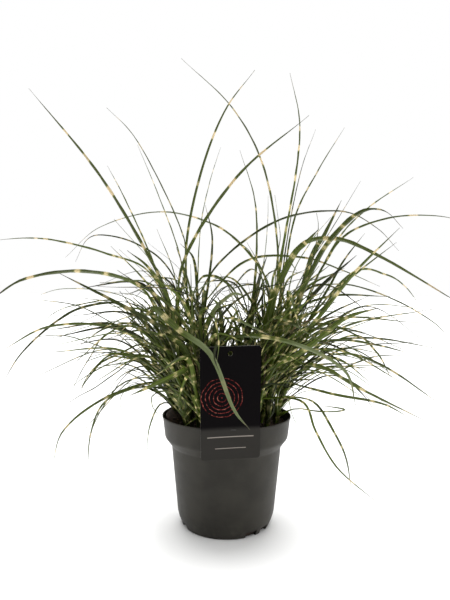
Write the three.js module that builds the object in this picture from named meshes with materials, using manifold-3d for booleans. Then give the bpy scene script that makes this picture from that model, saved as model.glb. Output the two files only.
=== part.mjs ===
// A potted little zebra maiden grass: a clump of leafy shoots in the soil of a plastic nursery pot,
// with its label. Millimetres, +Z up. The origin is the centre of the pot's underside, and the front,
// with the label, faces -Y.

import * as THREE from "three";
import { mergeVertices } from "three/addons/utils/BufferGeometryUtils.js";
import Module from "manifold-3d";

const wasm = await Module();
wasm.setup();

// Pot: radii and heights of its outside, from the foot up
const POT_WALL = 1.4;
const BEND_RISE = 1;
const POT_HEIGHT = 143.3;
const RIM_RADIUS = 85;
const LIP_HEIGHT = 2.6;
const LIP_STEP = 0.7;
const COLLAR_FOOT_RADIUS = 81.2;
const COLLAR_FOOT_HEIGHT = 115.4;
const BODY_TOP_RADIUS = 72.4;
const BODY_TOP_HEIGHT = 103.8;
const BODY_FOOT_RADIUS = 63.6;
const BODY_FOOT_HEIGHT = 15;
const BASE_RADIUS = 57.4;
const BASE_THICKNESS = 1.8;
const POT_FACETS = 40;

// Drain openings: three pairs, cut through the sloping foot
const DRAIN_PAIRS = 3;
const DRAIN_FIRST_BEARING = 43.5;
const DRAIN_PAIR_SPREAD = 11;
const DRAIN_SIZE = { width: 16, depth: 16, height: 9 };
const DRAIN_RADIUS = 61;
const DRAIN_HEIGHT = 3.2;

// Soil: a plug that fills the pot, with a lumpy, slightly mounded top
const SEAT_GAP = 0.3;
const SOIL_EDGE_HEIGHT = 131;
const SOIL_MOUND = 4;
const SOIL_LUMP = 1.1;
const SOIL_WAVE = { x: 0.21, y: 0.19, shift: 1.3 };
const SOIL_RIPPLE = { x: 0.37, y: 0.33, share: 0.6 };
const SOIL_FOOT_EASE = 1;
const SOIL_SPREAD = 1.4;
const SOIL_RINGS = 5;
const SOIL_FACETS = 28;

// Label: a card that leans over the collar, hung by a tongue that passes over the rim into the soil
const CARD = { width: 70, height: 139, thickness: 0.8, corner: 4 };
const CARD_CENTRE = [4.1, -95, 175.8];
const CARD_LEAN = 11.6;
const CARD_ROLL = 1.8;
const CARD_YAW = 6.8;
const CARD_HOLE = { radius: 3, below_top: 8.5, left_of_middle: 0.5 };
const TONGUE_WIDTH = 14;
const TONGUE_THICKNESS = 0.8;
const TONGUE_X = 4;
const TONGUE_CARD_Y = -88.3;
const TONGUE_BACK_Y = -77;
const TONGUE_FOOT = 117;
const TONGUE_CORNER = 1;

// Shoots: culms that stand in plain holes in the soil
const CULM_SIDES = 5;
const CULM_STEPS = 2;
const CULM_DEPTH = 12;
const CULM_CHECKS = 80;
const CULM_KNEE = { up: 0.45, out: 0.3 };
const HOLE_GAP = 0.4;
const FILLER_CULM = { foot: 2.4, top: 1.3 };

// Filler shoots stand on rings wherever there is room, and lean outwards
const FILLER_RINGS = [
  { count: 1, radius: 2 },
  { count: 6, radius: 20 },
  { count: 11, radius: 40 },
  { count: 14, radius: 58 },
];
const FOOT_SPACING = 10.5;
const FOOT_TRIES = 8;
const FILLER_STRAY = { turn: 0.8, out: 8 };
const FILLER_LEAN = { middle: 0.22, rim: 0.42, spread: 0.25 };
const FILLER_HEADING_SPREAD = 0.9;
const FILLER_HEIGHT = [62, 128];
const FILLER_LEAVES = 6;
const LEADER_EXTRAS = 2;

// Leaves
const LEAF_STEPS = { long: 7, short: 4 };
const LEAF_KEEL = 0.9;
const LEAF_TIP = { width: 0.9, keel: 0.6 };
const LEAF_SWELL = { foot: 0.75, rate: 1.2 };
const LEAF_TAPER = 3.2;
const LEAF_TWIST = { foot: 0.25, rate: 2.2 };
const LEAF_SHEATH = 28;
const LONG_LEAF_SWINGS = 24;
const LONG_LEAF_SWING = 5;
const LONG_LEAF_SLIDE = { step: 0.05, count: 4 };
const FILLER_LEAF_TRIES = 60;
const FILLER_LEAF_FROM = [0.45, 0.97];
const FILLER_LEAF_FAN = 3.4;
const FILLER_LEAF_VEER = 0.7;
const FILLER_LEAF_TURN = 1.8;

// What each point of a leaf keeps clear of, checked on a grid of small cells
const CELL = 2.5;
const CHECK_SPACING = { along: 2, across: 1.3 };
const REACH = { side: 300, front: -235, back: 260, low: 42, high: 606 };
const MOUTH_CLEARANCE = { radius: 92, height: 149 };

// Seeds: one for the plant, and strides that keep the draws of its rings, shoots and leaves apart
const FOLIAGE_SEED = 7;
const SEED_STRIDE = { ring: 1000, place: 20, shoot: 100000, leaf: 1000 };

const MERGE_DISTANCE = 1e-3;

// Leading shoots: where each stands, where its culm ends, its foot radius, and its long leaves.
// A leaf gives its width, how far its face is turned, how far up the culm it starts, and the points that it
// passes on its way to the tip.
const LEADERS = [
  {
    foot: [-44, -6],
    top: [-68, -2, 262],
    culm: 3,
    leaves: [
      { width: 7.5, turn: -1, from: 0.96, via: [[-95, 12, 328], [-179, 34, 465], [-287, 58, 595]] },
      {
        width: 4.5,
        turn: -0.6,
        from: 0.86,
        via: [[-100, -16, 327], [-157, -20, 353], [-215, -24, 368], [-254, -26, 372], [-298, -28, 369]],
      },
    ],
  },
  {
    foot: [-56, -24],
    top: [-80, -26, 240],
    culm: 2.6,
    leaves: [
      {
        width: 8,
        turn: 0.7,
        from: 0.95,
        via: [[-106, -39, 306], [-170, -58, 328], [-240, -80, 318], [-284, -94, 284]],
      },
      { width: 5.5, turn: -0.8, from: 0.8, via: [[-143, -32, 257], [-221, -46, 260], [-277, -60, 230]] },
      { width: 4.5, turn: -0.4, from: 0.72, via: [[-133, -28, 223], [-200, -43, 248], [-246, -60, 247]] },
      {
        width: 4.5,
        turn: 0.8,
        from: 0.55,
        via: [[-99, -30, 188], [-160, -35, 166], [-206, -40, 128], [-218, -44, 84]],
      },
      {
        width: 7,
        turn: -0.9,
        from: 0.9,
        via: [[-90, -74, 284], [-54, -114, 262], [-18, -128, 236], [6, -142, 182], [24, -148, 160]],
      },
    ],
  },
  {
    foot: [-62, 0],
    top: [-90, 4, 236],
    culm: 2.6,
    leaves: [
      {
        width: 5,
        turn: -0.8,
        from: 0.94,
        via: [[-135, 0, 284], [-186, -8, 284], [-224, -18, 263], [-262, -30, 225], [-283, -40, 187]],
      },
      {
        width: 2.5,
        turn: 0.8,
        from: 0.86,
        via: [[-145, 24, 287], [-207, 40, 286], [-246, 50, 274], [-266, 56, 255]],
      },
      { width: 3.5, turn: 0.8, from: 0.7, via: [[-144, 0, 222], [-178, -4, 200], [-196, -8, 170]] },
      {
        width: 3.5,
        turn: -1,
        from: 0.5,
        via: [[-112, -4, 178], [-159, -10, 160], [-178, -12, 118], [-182, -14, 64]],
      },
      { width: 2.5, turn: 0.8, from: 0.32, via: [[-88, -10, 156], [-101, -14, 126], [-103, -16, 98]] },
    ],
  },
  {
    foot: [-52, 30],
    top: [-80, 44, 262],
    culm: 2.6,
    leaves: [
      { width: 7, turn: -0.4, from: 0.96, via: [[-111, 70, 351], [-159, 112, 447], [-192, 138, 505]] },
      { width: 2.5, turn: 0.4, from: 0.88, via: [[-148, 52, 297], [-236, 60, 308], [-295, 64, 289]] },
      { width: 3, turn: -0.3, from: 0.8, via: [[-150, 62, 260], [-214, 78, 250], [-282, 110, 222]] },
      { width: 3.5, turn: -0.3, from: 0.66, via: [[-158, 42, 248], [-198, 50, 206], [-229, 58, 150]] },
      { width: 3, turn: -0.6, from: 0.5, via: [[-140, 46, 178], [-177, 50, 138], [-201, 54, 87]] },
    ],
  },
  {
    foot: [-30, 10],
    top: [-54, 6, 292],
    culm: 2.8,
    leaves: [
      {
        width: 3.5,
        turn: 0.6,
        from: 0.97,
        via: [[-54, -10, 370], [-35, -26, 458], [-6, -40, 530], [31, -50, 578]],
      },
      {
        width: 5,
        turn: -0.7,
        from: 0.9,
        via: [[-10, 14, 345], [70, 26, 404], [157, 37, 419], [209, 44, 398], [243, 48, 366]],
      },
      { width: 4.5, turn: -0.3, from: 0.84, via: [[-67, 26, 356], [-99, 50, 441], [-132, 66, 518]] },
    ],
  },
  {
    foot: [-34, -32],
    top: [-66, -42, 262],
    culm: 2.8,
    leaves: [
      { width: 6, turn: -1.2, from: 0.96, via: [[-52, -56, 345], [10, -80, 440], [89, -110, 503]] },
      {
        width: 3.5,
        turn: -0.6,
        from: 0.86,
        via: [[-53, -41, 347], [-60, -39, 386], [-91, -35, 452], [-122, -33, 504], [-155, -32, 537]],
      },
      { width: 4, turn: -0.8, from: 0.66, via: [[-104, -70, 262], [-140, -88, 262], [-172, -102, 240]] },
    ],
  },
  {
    foot: [-24, 38],
    top: [-44, 58, 300],
    culm: 2.6,
    leaves: [
      { width: 4.5, turn: 1, from: 0.97, via: [[-40, 70, 396], [-28, 86, 466], [-12, 102, 525]] },
      {
        width: 4.5,
        turn: -1,
        from: 0.9,
        via: [[26, 72, 350], [110, 90, 358], [175, 104, 340], [238, 120, 316]],
      },
      {
        width: 2.5,
        turn: 1.2,
        from: 0.8,
        via: [[-85, 60, 338], [-132, 72, 374], [-181, 84, 388], [-209, 88, 382], [-227, 91, 349]],
      },
      {
        width: 4,
        turn: -0.7,
        from: 0.72,
        via: [[-113, 70, 227], [-168, 86, 255], [-223, 98, 281], [-272, 108, 289], [-298, 116, 289]],
      },
    ],
  },
  {
    foot: [-12, -4],
    top: [-40, -6, 246],
    culm: 2.8,
    leaves: [
      { width: 4, turn: 0.8, from: 0.95, via: [[-26, -28, 310], [-20, -44, 370], [-28, -60, 410]] },
      {
        width: 5,
        turn: -0.9,
        from: 0.95,
        via: [
          [-45, -16, 288],
          [-35, -26, 321],
          [-19, -34, 325],
          [-5, -42, 319],
          [9, -50, 306],
          [22, -60, 278],
        ],
      },
    ],
  },
  {
    foot: [40, -4],
    top: [62, 0, 276],
    culm: 3,
    leaves: [
      { width: 6, turn: 0.7, from: 0.97, via: [[66, 6, 363], [46, 0, 470], [4, -8, 546], [-62, -20, 605]] },
      {
        width: 7,
        turn: -0.8,
        from: 0.88,
        via: [[73, -20, 369], [86, -34, 457], [88, -44, 518], [74, -52, 574]],
      },
      {
        width: 6,
        turn: 0.5,
        from: 0.92,
        via: [
          [56, 26, 313],
          [31, 38, 357],
          [-18, 48, 399],
          [-98, 56, 419],
          [-185, 64, 398],
          [-236, 66, 354],
        ],
      },
    ],
  },
  {
    foot: [48, 22],
    top: [74, 34, 288],
    culm: 2.8,
    leaves: [
      { width: 4, turn: -0.3, from: 0.97, via: [[92, 42, 405], [128, 56, 480], [168, 66, 545]] },
      { width: 4, turn: 0.8, from: 0.88, via: [[88, 66, 390], [110, 94, 490], [137, 130, 562]] },
      { width: 4, turn: 0.8, from: 0.78, via: [[112, 62, 335], [155, 86, 400], [204, 112, 478]] },
    ],
  },
  {
    foot: [20, 24],
    top: [34, 36, 286],
    culm: 2.6,
    leaves: [
      { width: 6.5, turn: -0.9, from: 0.97, via: [[40, 48, 360], [38, 62, 440], [17, 78, 516]] },
      { width: 3, turn: 1.1, from: 0.8, via: [[52, 70, 345], [60, 104, 410], [62, 130, 455]] },
    ],
  },
  {
    foot: [50, -28],
    top: [80, -42, 272],
    culm: 2.8,
    leaves: [
      {
        width: 8,
        turn: 0.3,
        from: 0.97,
        via: [[108, -62, 343], [129, -90, 378], [148, -118, 395], [167, -138, 392], [180, -156, 372]],
      },
      { width: 4.5, turn: -0.5, from: 0.84, via: [[76, -62, 320], [98, -80, 366], [118, -92, 392]] },
    ],
  },
  {
    foot: [34, -46],
    top: [60, -68, 240],
    culm: 2.6,
    leaves: [
      { width: 5.5, turn: 0.8, from: 0.95, via: [[99, -84, 267], [140, -112, 326], [183, -136, 375]] },
      { width: 6, turn: -0.8, from: 0.84, via: [[110, -76, 217], [155, -80, 193], [233, -92, 156]] },
      { width: 7.5, turn: 1, from: 0.76, via: [[92, -92, 240], [132, -104, 275], [170, -112, 289]] },
      {
        width: 4,
        turn: -0.8,
        from: 0.5,
        via: [[91, -62, 172], [108, -64, 136], [135, -66, 92], [183, -70, 52]],
      },
    ],
  },
  {
    foot: [62, -8],
    top: [100, -14, 240],
    culm: 3.2,
    leaves: [
      { width: 4.5, turn: 0.8, from: 0.88, via: [[134, -22, 300], [167, -34, 333], [211, -40, 369]] },
      { width: 6.5, turn: 0.6, from: 0.76, via: [[155, -4, 224], [216, 8, 204], [296, 26, 152]] },
      { width: 4, turn: -1.1, from: 0.6, via: [[140, -12, 172], [203, -8, 160], [242, -4, 141]] },
      {
        width: 4,
        turn: 1.1,
        from: 0.45,
        via: [[113, -16, 162], [138, -22, 126], [154, -26, 92], [161, -28, 50]],
      },
    ],
  },
  {
    foot: [58, 36],
    top: [98, 52, 250],
    culm: 2.6,
    leaves: [
      { width: 6.5, turn: 0.7, from: 0.97, via: [[146, 50, 365], [201, 76, 427], [285, 112, 484]] },
      {
        width: 4.5,
        turn: 0.6,
        from: 0.92,
        via: [
          [118, 44, 310],
          [136, 34, 350],
          [149, 28, 374],
          [172, 24, 391],
          [214, 16, 403],
          [259, 10, 403],
          [297, 4, 394],
        ],
      },
      {
        width: 4,
        turn: -1,
        from: 0.9,
        via: [[182, 76, 333], [237, 88, 333], [271, 94, 313], [297, 98, 279]],
      },
      { width: 8, turn: -0.7, from: 0.82, via: [[122, 84, 350], [147, 102, 395], [176, 122, 449]] },
      { width: 4.5, turn: -0.6, from: 0.72, via: [[141, 50, 306], [167, 58, 351], [199, 66, 392]] },
      { width: 4, turn: 0.9, from: 0.6, via: [[178, 66, 242], [222, 80, 218], [251, 96, 173]] },
      { width: 5.5, turn: 0.8, from: 0.74, via: [[140, 36, 236], [208, 34, 242], [297, 40, 228]] },
    ],
  },
  {
    foot: [34, 52],
    top: [78, 86, 244],
    culm: 2.6,
    leaves: [
      { width: 6, turn: 0.8, from: 0.84, via: [[170, 116, 232], [242, 140, 222], [298, 160, 208]] },
      { width: 4, turn: 0.8, from: 0.66, via: [[130, 136, 206], [208, 180, 212], [272, 204, 200]] },
      {
        width: 4,
        turn: -0.4,
        from: 0.75,
        via: [[162, 100, 187], [197, 112, 196], [234, 124, 206], [271, 136, 207], [298, 152, 204]],
      },
    ],
  },
  {
    foot: [26, -18],
    top: [52, -28, 266],
    culm: 3,
    leaves: [
      {
        width: 7.5,
        turn: -1,
        from: 0.96,
        via: [[84, -30, 355], [130, -46, 372], [185, -66, 348], [283, -88, 286]],
      },
      { width: 4, turn: 0.8, from: 0.84, via: [[44, -50, 310], [28, -74, 350], [4, -92, 368]] },
      {
        width: 4.5,
        turn: 0.4,
        from: 0.9,
        via: [[76, -22, 299], [114, -14, 313], [164, -6, 315], [226, 2, 295], [276, 5, 267], [298, 6, 246]],
      },
      {
        width: 8,
        turn: 0.9,
        from: 0.8,
        via: [[56, -58, 299], [76, -84, 348], [89, -94, 362], [102, -106, 377]],
      },
    ],
  },
  {
    foot: [-48, -46],
    top: [-57, -84, 228],
    culm: 3.2,
    leaves: [
      { width: 6, turn: 1, from: 0.9, via: [[-48, -118, 218], [-77, -142, 206], [-99, -168, 199]] },
      { width: 4.5, turn: -1, from: 0.97, via: [[-66, -96, 290], [-88, -108, 330], [-112, -118, 350]] },
    ],
  },
  {
    foot: [-10, -44],
    top: [-28, -76, 226],
    culm: 2.6,
    leaves: [
      {
        width: 6,
        turn: -0.8,
        from: 0.96,
        via: [[10, -108, 254], [72, -126, 249], [122, -148, 224], [132, -162, 188]],
      },
      {
        width: 4,
        turn: 0.7,
        from: 0.86,
        via: [[-32, -104, 276], [-18, -122, 284], [-10, -134, 252], [-12, -138, 226]],
      },
      {
        width: 6,
        turn: -0.9,
        from: 0.97,
        via: [
          [-27, -86, 251],
          [-22, -94, 271],
          [-12, -102, 288],
          [5, -108, 302],
          [17, -108, 301],
          [25, -104, 293],
        ],
      },
    ],
  },
  {
    foot: [16, -56],
    top: [24, -84, 214],
    culm: 2.4,
    leaves: [
      { width: 4, turn: -1.1, from: 0.8, via: [[52, -104, 262], [70, -128, 284], [82, -146, 288]] },
    ],
  },
];

// Broad shapes that the filler leaves follow: how long, how wide, how steep at the culm and at the tip
const FILLER_KINDS = [
  { share: 0.5, length: [95, 165], width: [3, 5], rise: [50, 82], fall: [15, 55] },
  { share: 0.35, length: [130, 215], width: [3, 5.5], rise: [25, 60], fall: [-40, 15] },
  { share: 0.15, length: [120, 190], width: [5, 8], rise: [45, 75], fall: [-20, 40] },
];

const radians = THREE.MathUtils.degToRad;
const vector = (point) => new THREE.Vector3(...point);

// A seeded stream of numbers from 0 to 1
function draws(seed) {
  let state = seed >>> 0;
  return () => {
    state = (state + 0x6d2b79f5) >>> 0;
    let mixed = Math.imul(state ^ (state >>> 15), state | 1);
    mixed ^= mixed + Math.imul(mixed ^ (mixed >>> 7), mixed | 61);
    return ((mixed ^ (mixed >>> 14)) >>> 0) / 4294967296;
  };
}

const between = (draw, [low, high]) => low + (high - low) * draw();

// The direction that climbs at one angle on a bearing
function direction(climb, bearing) {
  const level = Math.cos(climb);
  return new THREE.Vector3(level * Math.cos(bearing), level * Math.sin(bearing), Math.sin(climb));
}

// The largest shell of a joined solid: small voids between its pieces are filled
function largestShell(body) {
  return body.decompose().reduce((largest, shell) => (shell.volume() > largest.volume() ? shell : largest));
}

// Solids: a closed geometry becomes a solid that can be joined and cut, and turns back into a geometry
function solid(geometry) {
  const bare = geometry.clone();
  bare.deleteAttribute("normal");
  bare.deleteAttribute("uv");
  const merged = mergeVertices(bare, MERGE_DISTANCE);
  const mesh = new wasm.Mesh({
    numProp: 3,
    vertProperties: new Float32Array(merged.attributes.position.array),
    triVerts: new Uint32Array(merged.index.array),
  });
  return new wasm.Manifold(mesh);
}

function geometryOf(body) {
  const { vertProperties, triVerts } = body.getMesh();
  const geometry = new THREE.BufferGeometry();
  geometry.setAttribute("position", new THREE.BufferAttribute(vertProperties, 3));
  geometry.setIndex(new THREE.BufferAttribute(triVerts, 1));
  const faceted = geometry.toNonIndexed();
  faceted.computeVertexNormals();
  return faceted;
}

// True if a four-sided face, seen from outside, bulges outwards when it is split from first to third corner
function bulges(first, second, third, fourth) {
  const normal = second.clone().sub(first).cross(third.clone().sub(first));
  return normal.dot(fourth.clone().sub(first)) <= 0;
}

// A closed skin over rings of points, one ring after another, each going the same way round.
// Every face is split along the diagonal that bulges outwards, so a thin twisted leaf never crosses itself.
function skin(rings) {
  const sides = rings[0].length;
  const points = rings.flat();
  const positions = points.flatMap((point) => point.toArray());
  const index = [];
  for (let ring = 0; ring + 1 < rings.length; ring += 1) {
    for (let side = 0; side < sides; side += 1) {
      const a = ring * sides + side;
      const b = ring * sides + ((side + 1) % sides);
      const c = b + sides;
      const d = a + sides;
      if (bulges(points[a], points[b], points[c], points[d])) index.push(a, b, c, a, c, d);
      else index.push(a, b, d, b, c, d);
    }
  }
  const last = (rings.length - 1) * sides;
  for (let side = 1; side + 1 < sides; side += 1) {
    index.push(0, side + 1, side);
    index.push(last, last + side, last + side + 1);
  }
  const geometry = new THREE.BufferGeometry();
  geometry.setAttribute("position", new THREE.Float32BufferAttribute(positions, 3));
  geometry.setIndex(index);
  return geometry;
}

// Cells claimed by what is already placed. A cell near two owners is closed to all.
const SHARED = -1;
const FIRST_LEAF_OWNER = 1000;
const GRID_SPAN = 1024;
const claims = new Map();
let leafOwner = FIRST_LEAF_OWNER;

function cellKey(x, y, z) {
  const [i, j, k] = [x, y, z].map((place) => place + GRID_SPAN / 2);
  return (i * GRID_SPAN + j) * GRID_SPAN + k;
}

function cellOf(point) {
  return [Math.floor(point.x / CELL), Math.floor(point.y / CELL), Math.floor(point.z / CELL)];
}

function claim(points, owner) {
  for (const point of points) {
    const [x, y, z] = cellOf(point);
    for (let i = x - 1; i <= x + 1; i += 1) {
      for (let j = y - 1; j <= y + 1; j += 1) {
        for (let k = z - 1; k <= z + 1; k += 1) {
          const key = cellKey(i, j, k);
          const holder = claims.get(key);
          claims.set(key, holder === undefined || holder === owner ? owner : SHARED);
        }
      }
    }
  }
}

function isClear(points, ...owners) {
  return points.every((point) => {
    const holder = claims.get(cellKey(...cellOf(point)));
    return holder === undefined || owners.includes(holder);
  });
}

// Leaves stay within the clump's reach, and above the pot's mouth until they are past its rim
function isWithinReach(points) {
  return points.every((point) => {
    const overMouth = Math.hypot(point.x, point.y) < MOUTH_CLEARANCE.radius;
    if (overMouth && point.z < MOUTH_CLEARANCE.height) return false;
    if (Math.abs(point.x) > REACH.side || point.y < REACH.front || point.y > REACH.back) return false;
    return point.z > REACH.low && point.z < REACH.high;
  });
}

// A leaf's half width along its length: it swells from its foot, then tapers to a fine tip
function leafHalfWidth(leaf, along) {
  const swell = Math.min(1, LEAF_SWELL.foot + LEAF_SWELL.rate * along);
  const taper = 1 - along ** LEAF_TAPER;
  return Math.max(LEAF_TIP.width, leaf.width * swell * taper) / 2;
}

// Stations along a leaf: its centre, the direction across it and the direction out of its upper face
function leafStations(leaf, steps) {
  const curve = new THREE.CatmullRomCurve3(leaf.points, false, "catmullrom", 0.5);
  const centres = [];
  for (let step = 0; step <= steps; step += 1) centres.push(curve.getPoint(step / steps));
  const run = leaf.points.at(-1).clone().sub(leaf.points[0]);
  const level = new THREE.Vector3(run.y, -run.x, 0).normalize();
  return centres.map((centre, step) => {
    const ahead = centres[Math.min(step + 1, steps)];
    const behind = centres[Math.max(step - 1, 0)];
    const forward = ahead.clone().sub(behind).normalize();
    const flat = level.clone().addScaledVector(forward, -level.dot(forward)).normalize();
    const up = flat.clone().cross(forward);
    const along = step / steps;
    const turn = leaf.turn * Math.min(1, LEAF_TWIST.foot + LEAF_TWIST.rate * along);
    const across = flat.clone().multiplyScalar(Math.cos(turn)).addScaledVector(up, Math.sin(turn));
    const out = up.clone().multiplyScalar(Math.cos(turn)).addScaledVector(flat, -Math.sin(turn));
    return { centre, across, out, along };
  });
}

// Points spread over a leaf, close enough together to find what it would touch
function leafPoints(leaf) {
  const length = leaf.points.slice(1).reduce((sum, point, i) => sum + point.distanceTo(leaf.points[i]), 0);
  const points = [];
  for (const station of leafStations(leaf, Math.ceil(length / CHECK_SPACING.along))) {
    const half = leafHalfWidth(leaf, station.along);
    const lanes = Math.ceil(half / CHECK_SPACING.across);
    for (let lane = -lanes; lane <= lanes; lane += 1) {
      points.push(station.centre.clone().addScaledVector(station.across, (half * lane) / lanes));
    }
  }
  return points;
}

// A leaf's solid: a flat upper face over a low keel
function leafSolid(leaf, steps) {
  const rings = leafStations(leaf, steps).map(({ centre, across, out, along }) => {
    const half = leafHalfWidth(leaf, along);
    const keel = THREE.MathUtils.lerp(LEAF_KEEL, LEAF_TIP.keel, along);
    return [
      centre.clone().addScaledVector(across, half),
      centre.clone().addScaledVector(out, -keel),
      centre.clone().addScaledVector(across, -half),
    ];
  });
  return solid(skin(rings));
}

// Culms
function culmCurve(shoot) {
  const foot = new THREE.Vector3(...shoot.foot, soilHeight(...shoot.foot) - CULM_DEPTH);
  const top = vector(shoot.top);
  const knee = foot.clone().lerp(top, CULM_KNEE.out);
  knee.z = THREE.MathUtils.lerp(foot.z, top.z, CULM_KNEE.up);
  return new THREE.CatmullRomCurve3([foot, knee, top], false, "catmullrom", 0.5);
}

function culmRing(shoot, along, extra) {
  const curve = culmCurve(shoot);
  const centre = curve.getPoint(along);
  const forward = curve.getTangent(along);
  const first = new THREE.Vector3(0, 1, 0).cross(forward).normalize();
  const second = forward.clone().cross(first);
  const radius = THREE.MathUtils.lerp(shoot.culm, FILLER_CULM.top, along) + extra;
  const ring = [];
  for (let side = 0; side < CULM_SIDES; side += 1) {
    const angle = (2 * Math.PI * side) / CULM_SIDES;
    const spoke = first.clone().multiplyScalar(Math.cos(angle)).addScaledVector(second, Math.sin(angle));
    ring.push(centre.clone().addScaledVector(spoke, radius));
  }
  return ring;
}

function culmSolid(shoot) {
  const rings = [];
  for (let step = 0; step <= CULM_STEPS; step += 1) {
    rings.push(culmRing(shoot, step / CULM_STEPS, 0));
  }
  return solid(skin(rings));
}

function culmPoints(shoot) {
  const points = [];
  for (let step = 0; step <= CULM_CHECKS; step += 1) {
    points.push(...culmRing(shoot, step / CULM_CHECKS, 0));
  }
  return points;
}

// The plain hole that a culm stands in: a little wider and deeper than the culm's foot
function culmHole(shoot) {
  const floor = culmRing(shoot, 0, HOLE_GAP);
  const mouth = culmRing(shoot, 1 / CULM_STEPS, HOLE_GAP);
  const down = culmCurve(shoot).getTangent(0).multiplyScalar(-SEAT_GAP);
  return solid(skin([floor.map((point) => point.clone().add(down)), mouth]));
}

// Soil
function soilHeight(x, y) {
  const mound = SOIL_MOUND * (1 - (x * x + y * y) / RIM_RADIUS ** 2);
  const wave = Math.sin(SOIL_WAVE.x * x + SOIL_WAVE.shift) * Math.cos(SOIL_WAVE.y * y);
  const ripple = SOIL_RIPPLE.share * Math.sin(SOIL_RIPPLE.x * x - SOIL_RIPPLE.y * y);
  return SOIL_EDGE_HEIGHT + mound + SOIL_LUMP * (wave + ripple);
}

function soilBody(shoots) {
  const wall = (radius) => radius - POT_WALL - SEAT_GAP;
  const side = [
    [wall(BASE_RADIUS) - SOIL_FOOT_EASE, BASE_THICKNESS + SEAT_GAP],
    [wall(BODY_FOOT_RADIUS), BODY_FOOT_HEIGHT + BEND_RISE],
    [wall(BODY_TOP_RADIUS), BODY_TOP_HEIGHT + BEND_RISE],
    [wall(COLLAR_FOOT_RADIUS), COLLAR_FOOT_HEIGHT + BEND_RISE],
  ];
  const topRadius = wall(COLLAR_FOOT_RADIUS) + SOIL_SPREAD;
  const ringAt = (radius, height) => {
    const ring = [];
    for (let facet = 0; facet < SOIL_FACETS; facet += 1) {
      const angle = (2 * Math.PI * facet) / SOIL_FACETS;
      const x = radius * Math.cos(angle);
      const y = radius * Math.sin(angle);
      ring.push(new THREE.Vector3(x, y, height ?? soilHeight(x, y)));
    }
    return ring;
  };
  const rings = side.map(([radius, height]) => ringAt(radius, height));
  for (let ring = SOIL_RINGS; ring > 0; ring -= 1) rings.push(ringAt((topRadius * ring) / SOIL_RINGS));
  let body = solid(skin(rings));
  for (const shoot of shoots) body = body.subtract(culmHole(shoot));
  const slot = new THREE.BoxGeometry(
    TONGUE_WIDTH + 2 * HOLE_GAP,
    TONGUE_THICKNESS + 2 * HOLE_GAP,
    2 * (SOIL_EDGE_HEIGHT + SOIL_MOUND - TONGUE_FOOT + SEAT_GAP),
  );
  slot.translate(TONGUE_X, TONGUE_BACK_Y + TONGUE_THICKNESS / 2, SOIL_EDGE_HEIGHT + SOIL_MOUND);
  return body.subtract(solid(slot));
}

// Pot
function potBody() {
  const lipFoot = POT_HEIGHT - LIP_HEIGHT;
  const inside = (radius) => radius - POT_WALL;
  const outline = [
    [0, 0],
    [BASE_RADIUS, 0],
    [BODY_FOOT_RADIUS, BODY_FOOT_HEIGHT],
    [BODY_TOP_RADIUS, BODY_TOP_HEIGHT],
    [COLLAR_FOOT_RADIUS, COLLAR_FOOT_HEIGHT],
    [RIM_RADIUS - LIP_STEP, lipFoot],
    [RIM_RADIUS, lipFoot],
    [RIM_RADIUS, POT_HEIGHT],
    [inside(RIM_RADIUS), POT_HEIGHT],
    [inside(RIM_RADIUS - LIP_STEP), lipFoot],
    [inside(COLLAR_FOOT_RADIUS), COLLAR_FOOT_HEIGHT + BEND_RISE],
    [inside(BODY_TOP_RADIUS), BODY_TOP_HEIGHT + BEND_RISE],
    [inside(BODY_FOOT_RADIUS), BODY_FOOT_HEIGHT + BEND_RISE],
    [inside(BASE_RADIUS), BASE_THICKNESS],
    [0, BASE_THICKNESS],
  ];
  const turned = new THREE.LatheGeometry(
    outline.map(([radius, height]) => new THREE.Vector2(radius, height)),
    POT_FACETS,
  );
  turned.rotateX(Math.PI / 2);
  let body = solid(turned);
  for (let pair = 0; pair < DRAIN_PAIRS; pair += 1) {
    for (const side of [-1, 1]) {
      const bearing = DRAIN_FIRST_BEARING + (360 / DRAIN_PAIRS) * pair + side * DRAIN_PAIR_SPREAD;
      const cutter = new THREE.BoxGeometry(DRAIN_SIZE.width, DRAIN_SIZE.depth, DRAIN_SIZE.height);
      cutter.translate(0, -DRAIN_RADIUS, DRAIN_HEIGHT);
      cutter.rotateZ(radians(bearing));
      body = body.subtract(solid(cutter));
    }
  }
  return body;
}

// Label
function cardBody() {
  const { width, height, thickness, corner } = CARD;
  const left = -width / 2;
  const low = -height / 2;
  const outline = new THREE.Shape();
  outline.absarc(left + corner, low + corner, corner, Math.PI, 1.5 * Math.PI);
  outline.absarc(-left - corner, low + corner, corner, 1.5 * Math.PI, 2 * Math.PI);
  outline.absarc(-left - corner, -low - corner, corner, 0, 0.5 * Math.PI);
  outline.absarc(left + corner, -low - corner, corner, 0.5 * Math.PI, Math.PI);
  const hole = new THREE.Path();
  hole.absarc(-CARD_HOLE.left_of_middle, height / 2 - CARD_HOLE.below_top, CARD_HOLE.radius, 0, 2 * Math.PI);
  outline.holes.push(hole);
  const card = new THREE.ExtrudeGeometry(outline, {
    depth: thickness,
    bevelEnabled: false,
    curveSegments: 5,
  });
  card.translate(0, 0, -thickness / 2);
  card.rotateX(Math.PI / 2);
  card.applyMatrix4(cardPlace());
  return solid(card);
}

// The card's place: rolled in its own plane, leaned over the collar, turned about the upright, then moved
function cardPlace() {
  const place = new THREE.Matrix4().makeTranslation(...CARD_CENTRE);
  place.multiply(new THREE.Matrix4().makeRotationZ(radians(CARD_YAW)));
  place.multiply(new THREE.Matrix4().makeRotationX(radians(CARD_LEAN)));
  place.multiply(new THREE.Matrix4().makeRotationY(-radians(CARD_ROLL)));
  return place;
}

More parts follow.
